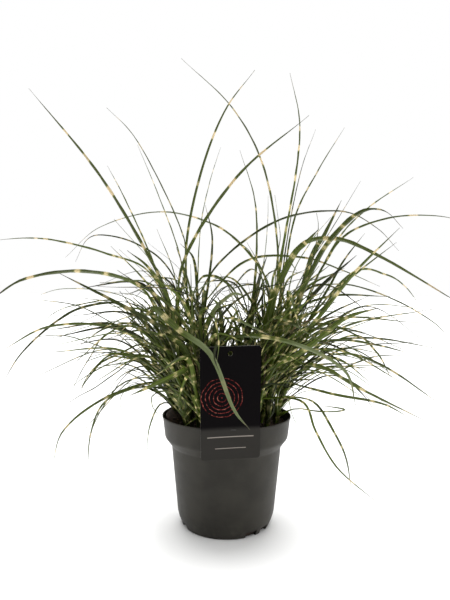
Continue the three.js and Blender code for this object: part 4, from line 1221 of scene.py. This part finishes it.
def leaf_paint():
    paint = Paint("zebra_leaf", 0.42)
    lane, distance, half = paint.facts("span")
    phase, spacing, ragged = paint.facts("bands")
    tone, dry, along = paint.facts("look")
    fresh, strength, seed = paint.facts("kind")
    across = paint.times(lane, half)
    apart = paint.times(seed, LEAVES_APART)

    # Bands: the nearest of a row of unevenly spaced centres, with streaked ends that follow the veins
    sideways = paint.times(across, STREAKS["across"])
    stretched = paint.vector(sideways, paint.times(distance, STREAKS["along"]), apart)
    streaks = paint.noise(stretched, 1.0, 2.0)
    fray = paint.times(paint.minus(streaks, 0.5), paint.times(ragged, BAND_FRAY))
    rows = paint.add("ShaderNodeTexVoronoi", voronoi_dimensions="1D")
    paint.put(paint.plus(phase, paint.over(fray, spacing)), rows.inputs["W"])
    paint.put(1.0, rows.inputs["Scale"])
    paint.put(BAND_UNEVEN, rows.inputs["Randomness"])
    gap = paint.times(rows.outputs["Distance"], spacing)
    drawn = paint.add("ShaderNodeSeparateColor", rows.outputs["Color"]).outputs
    shorter = paint.line(fresh, BAND_HALF["fresh"], 1.0)
    reach = paint.times(paint.line(drawn[0], BAND_HALF["more"], BAND_HALF["least"]), spacing)
    reach = paint.times(reach, shorter)
    missing = paint.line(fresh, BAND_MISSING["fresh"], BAND_MISSING["out"])
    clear = paint.step(drawn[2], *BAND_CLEAR)
    present = paint.times(paint.maths("GREATER_THAN", drawn[1], missing), strength)
    present = paint.times(present, clear)
    beyond = paint.minus(gap, reach)
    band = paint.times(paint.step(beyond, *BAND_EDGE), present)
    torn = paint.vector(paint.times(across, TEARS["across"]), paint.times(distance, TEARS["along"]), apart)
    torn = paint.noise(torn, 1.0, 2.0)
    whole = paint.step(torn, *BAND_TEAR, paint.line(fresh, BAND_WHOLE_FRESH, 1.0), 1.0)
    band = paint.times(band, whole)
    halo = paint.times(paint.step(beyond, *BAND_HALO), present)

    # Greens: fresh near the crown and darker further out, with fine veins, a paler midrib, and a painted
    # sheen that lightens one half of each blade's fold
    drift = paint.vector(across, paint.times(distance, CLOUDS["along"]), apart)
    clouds = paint.noise(drift, CLOUDS["scale"], 2.0)
    aged = paint.blend(paint.step(paint.plus(tone, clouds), *AGED_TONE), LEAF_OLIVE, LEAF_GREEN)
    young = paint.blend(paint.step(clouds, *YOUNG_CLOUDS), LEAF_GREEN, LEAF_FRESH)
    green = paint.blend(paint.times(fresh, paint.line(tone, 0.5, 0.5)), aged, young)
    veins = paint.maths("SINE", paint.times(across, VEINS["across"]))
    green = paint.blend(paint.step(veins, *VEIN_TONE), green, LEAF_LIGHT)
    green = paint.blend(halo, green, LEAF_YELLOW)
    # Painted sheen: one half of the folded blade, on both faces, is lightened towards LEAF_LIGHT as if
    # light caught it, more on leaves of high tone and less in the fresh green
    painted_sheen_half = paint.times(paint.step(lane, *SHEEN_HALF_SIDE), paint.step(tone, *SHEEN_HALF_TONES))
    painted_sheen_half = paint.times(painted_sheen_half, paint.line(fresh, SHEEN_HALF_FRESH, 1.0))
    green = paint.blend(painted_sheen_half, green, LEAF_LIGHT)
    green = paint.blend(paint.step(tone, *SILVER_TONE), green, LEAF_SILVER)
    rib = paint.step(paint.size(across), *RIB_TONE)
    green = paint.blend(rib, green, LEAF_LIGHT)
    cream = paint.blend(paint.times(fresh, streaks), BAND_TAN, BAND_CREAM)
    colour = paint.blend(band, green, cream)

    # Tips, dry leaves, and painted shade that darkens leaves of low tone, most of them the fine ones inside
    # the clump
    ends = paint.plus(along, paint.times(clouds, CLOUDS["tips"]))
    colour = paint.blend(paint.step(ends, *TIP_TONE), colour, TIP_GREY)
    colour = paint.blend(dry, colour, paint.blend(clouds, DRY_TAN, DRY_PINK))
    # Painted shade: leaves of low tone are blended towards near-black LEAF_SHADE, standing in for the
    # shadow deep in the clump
    colour = paint.blend(paint.step(tone, *SHADE_TONE), colour, LEAF_SHADE)
    paint.colour(colour)
    paint.roughness(paint.line(clouds, 0.25, 0.32))
    paint.specular(0.18)
    relief = paint.minus(paint.times(veins, VEINS["relief"]), rib)
    paint.bump(relief, 0.35, 0.0002)
    return paint.material


POT_TAUPE = (0.0345, 0.0318, 0.0252)
POT_DEEP = (0.0233, 0.0214, 0.0168)
POT_DUST = (0.110, 0.100, 0.082)
POT_SPECK = (0.012, 0.011, 0.010)
LOW_DUST = (2.0, 26.0, 0.34, 0.03)
DUST_PATCHES = (0.45, 0.75)
SPECKS = {"scale": 105.0, "strength": 0.85, "rare": (0.90, 0.92), "edge": (0.05, 0.12, 1.0, 0.0)}


def pot_paint():
    paint = Paint("moulded_plastic", 0.5)
    place = paint.place()
    height = paint.over(paint.add("ShaderNodeSeparateXYZ", place).outputs[2], MM)
    clouds = paint.noise(place, 28.0, 4.0)
    grain = paint.noise(place, 1500.0, 2.0)
    colour = paint.blend(paint.step(clouds, 0.3, 0.7), POT_DEEP, POT_TAUPE)
    patches = paint.noise(place, 90.0, 5.0, 0.65)
    low_dust = paint.step(height, *LOW_DUST)
    dust = paint.times(paint.step(patches, *DUST_PATCHES), low_dust)
    colour = paint.blend(dust, colour, POT_DUST)
    specks = paint.add("ShaderNodeTexVoronoi")
    paint.put(place, specks.inputs["Vector"])
    paint.put(SPECKS["scale"], specks.inputs["Scale"])
    drawn = paint.add("ShaderNodeSeparateColor", specks.outputs["Color"]).outputs[0]
    rare = paint.step(drawn, *SPECKS["rare"])
    mark = paint.times(paint.step(specks.outputs["Distance"], *SPECKS["edge"]), rare)
    colour = paint.blend(paint.times(mark, SPECKS["strength"]), colour, POT_SPECK)
    paint.colour(colour)
    paint.roughness(paint.line(patches, 0.25, 0.38))
    paint.specular(0.2)
    paint.bump(paint.plus(grain, paint.times(clouds, 0.6)), 0.25, 0.0002)
    return paint.material


SOIL_BLACK = (0.010, 0.007, 0.005)
SOIL_BROWN = (0.048, 0.026, 0.014)
BARK_LIGHT = (0.150, 0.078, 0.038)
SOIL_CLODS = (0.35, 0.72)
SOIL_CHIPS = (0.62, 0.78, 0.0, 0.55)
CRUMB_TONES = (0.1, 1.0)
CRUMB_GRAIN = (0.3, 0.8, 0.0, 0.6)


def soil_paint():
    paint = Paint("potting_soil", 0.95)
    place = paint.place()
    coarse = paint.noise(place, 260.0, 6.0, 0.7)
    fine = paint.noise(place, 1400.0, 4.0, 0.7)
    colour = paint.blend(paint.step(coarse, *SOIL_CLODS), SOIL_BLACK, SOIL_BROWN)
    colour = paint.blend(paint.step(fine, *SOIL_CHIPS), colour, BARK_LIGHT)
    paint.colour(colour)
    paint.bump(paint.plus(coarse, fine), 0.8, 0.0008)
    return paint.material


def crumb_paint():
    paint = Paint("bark_crumbs", 0.9)
    tone, _, _ = paint.facts("look")
    place = paint.place()
    grain = paint.noise(place, 900.0, 4.0, 0.65)
    colour = paint.blend(paint.step(tone, *CRUMB_TONES), SOIL_BLACK, BARK_LIGHT)
    paint.colour(paint.blend(paint.step(grain, *CRUMB_GRAIN), colour, SOIL_BROWN))
    paint.bump(grain, 0.7, 0.0005)
    return paint.material


CARD_BLACK = (0.0030, 0.0023, 0.0027)
CARD_GREY = (0.034, 0.032, 0.029)
CARD_RED = (0.160, 0.016, 0.016)
CARD_ROSE = (0.420, 0.150, 0.110)
CARD_INK = (0.300, 0.270, 0.240)
CARD_EDGE = (0.300, 0.300, 0.290)
CARD_DARKER = 0.7
CARD_FOOT_BAND = (-34.0, -27.0)
RIPPLE_CENTRE = (-10.0, 8.0)
RIPPLE_SPACING = 4.6
RIPPLE_WOBBLE = 3.0
RIPPLE_LINE = (0.05, 0.11, 1.0, 0.0)
RIPPLE_WEAR = (0.36, 0.52)
RIPPLE_EDGE = (25.0, 27.0, 1.0, 0.0)
RIPPLE_ROSE = (0.5, 0.72)
CARD_RULES = (
    {"height": -41.0, "reach": 27.0, "thick": 0.5},
    {"height": -55.5, "reach": 18.0, "thick": 0.35},
)
RULE_EDGE = {"side": 0.25, "end": 0.4}


def card_paint():
    """A black card with a grey foot, a generic motif of ripples in dark red, and two plain rules."""
    paint = Paint("printed_card", 0.3)
    x, z, _ = paint.facts("card")
    place = paint.place()
    grain = paint.noise(place, 700.0, 3.0)
    ground = paint.blend(paint.step(z, *CARD_FOOT_BAND), CARD_GREY, CARD_BLACK)
    dx = paint.minus(x, RIPPLE_CENTRE[0])
    dz = paint.minus(z, RIPPLE_CENTRE[1])
    away = paint.maths("SQRT", paint.plus(paint.times(dx, dx), paint.times(dz, dz)))
    wobble = paint.noise(paint.vector(x, z, 0.0), 0.08, 2.0)
    turns = paint.over(paint.line(wobble, RIPPLE_WOBBLE, away), RIPPLE_SPACING)
    ripple = paint.size(paint.minus(paint.maths("FRACT", turns), 0.5))
    worn = paint.noise(paint.vector(x, z, 3.0), 0.5, 3.0)
    ring = paint.times(paint.step(ripple, *RIPPLE_LINE), paint.step(worn, *RIPPLE_WEAR))
    ring = paint.times(ring, paint.step(away, *RIPPLE_EDGE))
    ink = paint.blend(paint.step(worn, *RIPPLE_ROSE), CARD_RED, CARD_ROSE)
    colour = paint.blend(ring, ground, ink)
    for plain in CARD_RULES:
        up = paint.size(paint.minus(z, plain["height"]))
        rule = paint.step(up, plain["thick"], plain["thick"] + RULE_EDGE["side"], 1.0, 0.0)
        end = paint.step(paint.size(x), plain["reach"], plain["reach"] + RULE_EDGE["end"], 1.0, 0.0)
        colour = paint.blend(paint.times(rule, end), colour, CARD_INK)
    paint.colour(colour)
    paint.roughness(paint.line(grain, 0.2, 0.34))
    paint.specular(0.03)
    paint.bump(grain, 0.08, 0.0001)
    return paint.material


def plain_card_paint(name, colour, roughness):
    paint = Paint(name, roughness)
    grain = paint.noise(paint.place(), 500.0, 4.0)
    darker = tuple(CARD_DARKER * part for part in colour)
    paint.colour(paint.blend(grain, darker, colour))
    paint.bump(grain, 0.1, 0.0001)
    return paint.material


FLOOR_GREY = (0.74, 0.74, 0.74)
FLOOR_PALE = (0.77, 0.77, 0.765)


def floor_paint():
    paint = Paint("pale_floor", 0.85)
    clouds = paint.noise(paint.place(), 3.0, 2.0)
    paint.colour(paint.blend(clouds, FLOOR_GREY, FLOOR_PALE))
    return paint.material


# Pot

ARC_STEPS = 5
ARC_ROOM = 2.2
POT_SHARP_ANGLE = 35


def rounded(corners):
    """An outline whose corners give their radius: each arc starts and ends that far from its corner."""
    points = []
    for i, (*corner, radius) in enumerate(corners):
        if not radius:
            points.append(tuple(corner))
            continue
        here = np.array(corner, float)
        before = np.array(corners[i - 1][:2], float) - here
        after = np.array(corners[(i + 1) % len(corners)][:2], float) - here
        cut = min(radius, np.linalg.norm(before) / ARC_ROOM, np.linalg.norm(after) / ARC_ROOM)
        start = here + unit(before) * cut
        end = here + unit(after) * cut
        for step in range(ARC_STEPS + 1):
            t = step / ARC_STEPS
            points.append(tuple((1 - t) ** 2 * start + 2 * t * (1 - t) * here + t**2 * end))
    return points


def ring_points(radius, height, count):
    """Points of a level ring round the upright."""
    angles = [2 * math.pi * place / count for place in range(count)]
    return [(radius * math.cos(angle), radius * math.sin(angle), height) for angle in angles]


def stacked_faces(rings, sides):
    """Faces of a closed body made of stacked rings between a first and a last point."""
    faces = []
    last = 1 + (rings - 1) * sides
    for side in range(sides):
        after = (side + 1) % sides
        faces.append((0, 1 + after, 1 + side))
        for ring in range(rings - 1):
            a = 1 + ring * sides + side
            b = 1 + ring * sides + after
            faces.append((a, b, b + sides, a + sides))
        faces.append((last + side, last + after, last + sides))
    return faces


def turned(outline, segments):
    """A closed body turned about the upright from an outline that starts and ends on it."""
    vertices = [(0.0, 0.0, outline[0][1])]
    for radius, height in outline[1:-1]:
        vertices += ring_points(radius, height, segments)
    vertices.append((0.0, 0.0, outline[-1][1]))
    return vertices, stacked_faces(len(outline) - 2, segments)


def cut_away(piece, cutter):
    """Cuts the cutter out of the piece and removes the cutter."""
    modifier = piece.modifiers.new("cut", "BOOLEAN")
    modifier.operation = "DIFFERENCE"
    modifier.solver = "EXACT"
    modifier.object = cutter
    graph = bpy.context.evaluated_depsgraph_get()
    cut = bpy.data.meshes.new_from_object(piece.evaluated_get(graph))
    piece.modifiers.clear()
    old = piece.data
    piece.data = cut
    cut.name = old.name
    bpy.data.meshes.remove(old)
    bpy.data.objects.remove(cutter)


def box_mesh(size, middle, bearing):
    """A box whose middle is turned about the pot's axis by a bearing in degrees."""
    turn = Matrix.Rotation(math.radians(bearing), 4, "Z")
    sides = [(place - reach / 2, place + reach / 2) for place, reach in zip(middle, size)]
    vertices = [tuple(turn @ Vector((x, y, z))) for x in sides[0] for y in sides[1] for z in sides[2]]
    faces = [(0, 1, 3, 2), (4, 6, 7, 5), (0, 4, 5, 1), (2, 3, 7, 6), (0, 2, 6, 4), (1, 5, 7, 3)]
    return vertices, faces


def pot_piece():
    lip_foot = POT_HEIGHT - LIP_HEIGHT
    corners = [
        (0.0, 0.0, 0.0),
        (BASE_RADIUS, 0.0, 1.6),
        (BODY_FOOT_RADIUS, BODY_FOOT_HEIGHT, 9.0),
        (BODY_TOP_RADIUS, BODY_TOP_HEIGHT, 1.6),
        (COLLAR_FOOT_RADIUS, COLLAR_FOOT_HEIGHT, 2.4),
        (RIM_RADIUS - LIP_STEP, lip_foot, 0.4),
        (RIM_RADIUS, lip_foot, 0.35),
        (RIM_RADIUS, POT_HEIGHT, 0.7),
        (RIM_RADIUS - POT_WALL, POT_HEIGHT, 0.45),
        (RIM_RADIUS - LIP_STEP - POT_WALL, lip_foot, 1.0),
        (COLLAR_FOOT_RADIUS - POT_WALL, COLLAR_FOOT_HEIGHT + BEND_RISE, 2.4),
        (BODY_TOP_RADIUS - POT_WALL, BODY_TOP_HEIGHT + BEND_RISE, 1.6),
        (BODY_FOOT_RADIUS - POT_WALL, BODY_FOOT_HEIGHT + BEND_RISE, 9.0),
        (BASE_RADIUS - POT_WALL, BASE_THICKNESS, 1.2),
        (0.0, BASE_THICKNESS, 0.0),
    ]
    vertices, faces = turned(rounded(corners), POT_SEGMENTS)
    piece = build_object("nursery_pot", vertices, faces, [pot_paint()])
    for pair in range(DRAIN_PAIRS):
        for side in (-1, 1):
            bearing = DRAIN_FIRST_BEARING + 360 / DRAIN_PAIRS * pair + side * DRAIN_PAIR_SPREAD
            box = box_mesh(DRAIN_SIZE, (0.0, -DRAIN_RADIUS, DRAIN_HEIGHT), bearing)
            cut_away(piece, build_object("drain", *box, []))
    piece.data.set_sharp_from_angle(angle=math.radians(POT_SHARP_ANGLE))
    return stand_for(piece, "pot_plastic", "pot")


# Soil

SOIL_RING_STEP = 1.3
SOIL_SECTORS = 260
SOIL_ROUGH = {"coarse": (0.085, 1.5), "fine": (0.33, 0.8), "grit": (1.1, 0.45)}
SOIL_ROUGH_LAYER = 4.2
SOIL_WALL_DIP = {"depth": 1.5, "width": 9.0}
SOIL_HEAP = {"x": -69.0, "y": -24.0, "reach": 26.0, "height": 24.0}

# Crumbs: how many, how far from the wall, how large, their shape, how high they lie, and their tones
CRUMB_SEED = 41
CRUMB_COUNT = 760
CRUMB_EDGE = 3.0
CRUMB_SIZE = (0.9, 3.6)
CRUMB_SHARE = (0.35, 1.0)
CRUMB_STRETCH = ((1.0, 2.3), (0.6, 1.0), (0.35, 0.7))
CRUMB_TILT = 0.9
CRUMB_DENT = 0.35
CRUMB_LIFT = 0.15
CRUMB_TONE_POWER = 1.6


def wall_inside(radius):
    return radius - POT_WALL - SEAT_GAP


def rough_soil_height(x, y):
    height = float(soil_height(x, y))
    away = math.hypot(x - SOIL_HEAP["x"], y - SOIL_HEAP["y"])
    height += SOIL_HEAP["height"] * float(smooth_step(SOIL_HEAP["reach"], 0, away))
    for scale, depth in SOIL_ROUGH.values():
        height += depth * noise.noise(Vector((x * scale, y * scale, SOIL_ROUGH_LAYER)))
    return height


def soil_piece():
    top_radius = wall_inside(COLLAR_FOOT_RADIUS) + SOIL_SPREAD
    side = [
        (wall_inside(BASE_RADIUS) - SOIL_FOOT_EASE, BASE_THICKNESS + SEAT_GAP),
        (wall_inside(BODY_FOOT_RADIUS), BODY_FOOT_HEIGHT + BEND_RISE),
        (wall_inside(BODY_TOP_RADIUS), BODY_TOP_HEIGHT + BEND_RISE),
        (wall_inside(COLLAR_FOOT_RADIUS), COLLAR_FOOT_HEIGHT + BEND_RISE),
    ]
    radii = np.linspace(top_radius, SOIL_RING_STEP, round(top_radius / SOIL_RING_STEP))
    vertices = [(0.0, 0.0, side[0][1])]
    for radius, height in side:
        vertices += ring_points(radius, height, SOIL_SECTORS)
    for radius in radii:
        dip = SOIL_WALL_DIP["depth"] * smooth_step(top_radius - SOIL_WALL_DIP["width"], top_radius, radius)
        for x, y, _ in ring_points(radius, 0.0, SOIL_SECTORS):
            vertices.append((x, y, rough_soil_height(x, y) - dip))
    vertices.append((0.0, 0.0, rough_soil_height(0.0, 0.0)))
    faces = stacked_faces(len(side) + len(radii), SOIL_SECTORS)
    piece = build_object("soil_plug", vertices, faces, [soil_paint()])
    return stand_for(piece, "soil", "soil")


def crumbs_piece():
    """Loose bark and peat crumbs, half sunk in the soil."""
    draw = draws(CRUMB_SEED).__next__
    bare = bmesh.new()
    bmesh.ops.create_icosphere(bare, subdivisions=1, radius=1.0)
    ball = np.array([vertex.co for vertex in bare.verts])
    ball_faces = [tuple(vertex.index for vertex in face.verts) for face in bare.faces]
    bare.free()
    top_radius = wall_inside(COLLAR_FOOT_RADIUS) - CRUMB_EDGE
    vertices = []
    faces = []
    looks = []
    for number in range(CRUMB_COUNT):
        radius = top_radius * math.sqrt(draw())
        angle = 2 * math.pi * draw()
        x, y = radius * math.cos(angle), radius * math.sin(angle)
        size = between(draw, CRUMB_SIZE) * between(draw, CRUMB_SHARE)
        stretch = np.array([between(draw, span) for span in CRUMB_STRETCH])
        turn = Matrix.Rotation(FULL_TURN * draw(), 3, "Z")
        turn = turn @ Matrix.Rotation(CRUMB_TILT * (draw() - 0.5), 3, "X")
        dents = 1 + CRUMB_DENT * (np.array([draw() for _ in range(len(ball))]) - 0.5)
        shape = (ball * dents[:, None] * stretch * size) @ np.array(turn).T
        start = number * len(ball)
        vertices.append(shape + [x, y, rough_soil_height(x, y) + CRUMB_LIFT * size])
        faces += [tuple(start + corner for corner in face) for face in ball_faces]
        looks.append(np.tile([draw() ** CRUMB_TONE_POWER, 0.0, 0.0], (len(ball), 1)))
    facts = {"look": np.vstack(looks)}
    vertices = np.vstack(vertices)
    piece = build_object("soil_crumbs", vertices, faces, [crumb_paint()], attributes=facts, sharp=30.0)
    return stand_for(piece, "soil")


# Label

def bent_outline_object(name, outline, width, x):
    """An outline in the YZ plane, as a bar of the given width across x."""
    count = len(outline)
    vertices = []
    for edge in (x - width / 2, x + width / 2):
        vertices += [(edge, y, z) for y, z in outline]
    faces = [tuple(range(count)), tuple(range(2 * count - 1, count - 1, -1))]
    for i in range(count):
        after = (i + 1) % count
        faces.append((i, i + count, after + count, after))
    return build_object(name, vertices, faces, [])


CARD_STEPS = (14, 22)
CARD_BOW = {"height": 0.9, "middle": 0.5}
CARD_CORNER_STEPS = 8
CARD_HOLE_SIDES = 28
CARD_CUT_ROOM = 1e-5
CARD_SHARP_ANGLE = 30
CARD_CORNERS = ((-1, -1, 180), (1, -1, 270), (1, 1, 0), (-1, 1, 90))
TONGUE_BEND = {"inner": 0.9, "outer": 1.7}


def card_outline():
    """Points round the card, with round corners, in its own plane."""
    half_width, half_height = CARD_WIDTH / 2, CARD_HEIGHT / 2
    points = []
    for sign_x, sign_z, start in CARD_CORNERS:
        for step in range(CARD_CORNER_STEPS + 1):
            angle = math.radians(start + 90 * step / CARD_CORNER_STEPS)
            x = sign_x * (half_width - CARD_CORNER) + CARD_CORNER * math.cos(angle)
            z = sign_z * (half_height - CARD_CORNER) + CARD_CORNER * math.sin(angle)
            points.append((x, z))
    return points


def flat_card():
    """The card with its hole before it is placed, in even steps so that it can bow."""
    height = CARD_HEIGHT / 2 - CARD_HOLE_BELOW_TOP
    ring = ring_points(CARD_HOLE_RADIUS, 0.0, CARD_HOLE_SIDES)
    hole = [(x - CARD_HOLE_LEFT, z + height) for x, z, _ in ring]
    card = bmesh.new()
    for loop in (card_outline(), hole):
        corners = [card.verts.new((x, -CARD_THICKNESS / 2, z)) for x, z in loop]
        for i, vertex in enumerate(corners):
            card.edges.new((vertex, corners[(i + 1) % len(corners)]))
    bmesh.ops.triangle_fill(card, use_beauty=True, use_dissolve=False, edges=card.edges[:])
    axes = ((1, 0, 0), (0, 0, 1))
    for axis, count, reach in zip(axes, CARD_STEPS, (CARD_WIDTH / 2, CARD_HEIGHT / 2)):
        for step in range(1, count):
            place = Vector(axis) * (reach * (2 * step / count - 1))
            geometry = card.verts[:] + card.edges[:] + card.faces[:]
            bmesh.ops.bisect_plane(card, geom=geometry, dist=CARD_CUT_ROOM, plane_co=place, plane_no=axis)
    extruded = bmesh.ops.extrude_face_region(card, geom=card.faces[:])
    moved = [item for item in extruded["geom"] if isinstance(item, bmesh.types.BMVert)]
    bmesh.ops.translate(card, verts=moved, vec=(0, CARD_THICKNESS, 0))
    bmesh.ops.recalc_face_normals(card, faces=card.faces[:])
    return card


def tongue_object():
    """The tongue runs back over the rim and bends down into the soil."""
    outer = POT_HEIGHT + SEAT_GAP + TONGUE_THICKNESS
    outline = rounded([
        (TONGUE_CARD_Y, POT_HEIGHT + SEAT_GAP, 0.0),
        (TONGUE_BACK_Y, POT_HEIGHT + SEAT_GAP, TONGUE_BEND["inner"]),
        (TONGUE_BACK_Y, TONGUE_FOOT, 0.0),
        (TONGUE_BACK_Y + TONGUE_THICKNESS, TONGUE_FOOT, 0.0),
        (TONGUE_BACK_Y + TONGUE_THICKNESS, outer, TONGUE_BEND["outer"]),
        (TONGUE_CARD_Y, outer, 0.0),
    ])
    return bent_outline_object("tongue", outline, TONGUE_WIDTH, TONGUE_X)


def label_piece():
    """The card, printed on its front and bowed a little, and the tongue that it hangs by."""
    card = flat_card()
    printed = card.verts.layers.float_vector.new("card")
    for vertex in card.verts:
        vertex[printed] = vertex.co.copy().xzy
    for face in card.faces:
        face.material_index = 2 if abs(face.normal.y) < 0.5 else (0 if face.normal.y < 0 else 1)
        face.smooth = True
    place = card_place()
    for vertex in card.verts:
        vertex.co.y += CARD_BOW["height"] * (CARD_BOW["middle"] - (vertex.co.x / (CARD_WIDTH / 2)) ** 2)
        vertex.co = place @ vertex.co
    card.transform(Matrix.Scale(MM, 4))
    tongue = tongue_object()
    start = len(card.faces)
    card.from_mesh(tongue.data)
    card.faces.ensure_lookup_table()
    for face in card.faces[start:]:
        face.material_index = 1
        face.smooth = True
    bmesh.ops.recalc_face_normals(card, faces=card.faces[:])
    bpy.data.objects.remove(tongue)
    mesh = bpy.data.meshes.new("card_label")
    card.to_mesh(mesh)
    card.free()
    mesh.materials.append(card_paint())
    mesh.materials.append(plain_card_paint("card_back", CARD_GREY, 0.4))
    mesh.materials.append(plain_card_paint("card_edge", CARD_EDGE, 0.5))
    mesh.set_sharp_from_angle(angle=math.radians(CARD_SHARP_ANGLE))
    return stand_for(add_object("card_label", mesh), "label_plastic", "label")


# Leafy shoots

def shoot_pieces(plant):
    paint = leaf_paint()
    for i, shoot in enumerate(plant.shoots):
        parts = [fine_culm(shoot, FINE_CULM_SEED + i)]
        ranked = sorted(shoot["grown"], key=lambda leaf: (bool(leaf.get("fine")), -leaf["from"]))
        for rank, leaf in enumerate(ranked):
            parts.append(fine_leaf(shoot, leaf, rank))
        name = f"shoot_{i + 1}"
        stand_for(strips_object(f"leafy_{name}", parts, paint), "leaf", name)


# Studio: a pale floor, broad soft lights and the camera

FLOOR_REACH = 60.0
LIGHTS = (
    ("left_light", (-1.0, -0.1, 0.75), 1.1, 60.0, (1.0, 0.98, 0.96)),
    ("right_light", (1.0, -0.1, 0.75), 2.2, 60.0, (1.0, 0.98, 0.96)),
    ("top_light", (0.0, 0.3, 1.0), 2.7, 35.0, (1.0, 1.0, 1.0)),
)
FLOOR_LIGHTS = (
    ("floor_light", (0.0, 0.35, 1.0), 3.0, 45.0, (1.0, 1.0, 1.0)),
    ("floor_fill", (0.0, -0.2, 1.0), 3.6, 150.0, (1.0, 1.0, 1.0)),
)
SURROUND = 0.04


def add_light(name, towards, strength, spread, colour):
    """A broad light from far away in one direction."""
    light = bpy.data.lights.new(name, "SUN")
    light.energy = strength
    light.angle = math.radians(spread)
    light.color = colour
    lamp = add_object(name, light)
    lamp.rotation_euler = Vector(towards).to_track_quat("Z", "Y").to_euler()
    return lamp


def linked(name, members, state):
    """A list of pieces for a light to reach, or to leave out."""
    pieces = bpy.data.collections.new(name)
    for member in members:
        pieces.objects.link(member)
    for entry in pieces.collection_objects:
        entry.light_linking.link_state = state
    return pieces


def add_world():
    """Dim light from all round, behind a white background."""
    world = bpy.data.worlds.new("studio_world")
    bpy.context.scene.world = world
    world.use_nodes = True
    tree = world.node_tree
    tree.nodes["Background"].inputs["Color"].default_value = (1.0, 1.0, 1.0, 1.0)
    seen = tree.nodes.new("ShaderNodeLightPath")
    strength = tree.nodes.new("ShaderNodeMapRange")
    strength.inputs["To Min"].default_value = SURROUND
    strength.inputs["To Max"].default_value = 1.0
    tree.links.new(seen.outputs["Is Camera Ray"], strength.inputs["Value"])
    tree.links.new(strength.outputs[0], tree.nodes["Background"].inputs["Strength"])


def add_camera():
    """The camera, where the photograph was taken from."""
    lens = bpy.data.cameras.new("camera")
    lens.lens = CAMERA_LENS
    lens.sensor_width = CAMERA_SENSOR
    camera = add_object("camera", lens)
    turn = Matrix.Rotation(math.pi / 2 - CAMERA_PITCH, 4, "X") @ Matrix.Rotation(CAMERA_ROLL, 4, "Z")
    camera.matrix_world = Matrix.Translation(Vector(CAMERA_PLACE) * MM) @ turn
    bpy.context.scene.camera = camera
    bpy.context.scene.view_settings.view_transform = "Standard"


def studio():
    reach = FLOOR_REACH
    mesh = bpy.data.meshes.new("studio_floor")
    corners = [(-reach, -reach, 0), (reach, -reach, 0), (reach, reach, 0), (-reach, reach, 0)]
    mesh.from_pydata(corners, [], [(0, 1, 2, 3)])
    mesh.materials.append(floor_paint())
    floor = add_object("studio_floor", mesh)

    add_world()
    all_but_floor = linked("all_but_floor", [floor], "EXCLUDE")
    for light in LIGHTS:
        add_light(*light).light_linking.receiver_collection = all_but_floor
    floor_alone = linked("floor_alone", [floor], "INCLUDE")
    for light in FLOOR_LIGHTS:
        add_light(*light).light_linking.receiver_collection = floor_alone
    add_camera()


def main():
    studio()
    pot = pot_piece()
    soil = soil_piece()
    crumbs_piece()
    label_piece()
    plant = Plant()
    for number, place in PALE_LEAVES:
        plant.shoots[number - 1]["grown"][place]["pale"] = 1.0
    plant.add_fine_leaves()
    shoot_pieces(plant)
    filled_pot = linked("filled_pot", [pot, soil], "INCLUDE")
    for name, *_ in FLOOR_LIGHTS:
        bpy.data.objects[name].light_linking.blocker_collection = filled_pot


main()
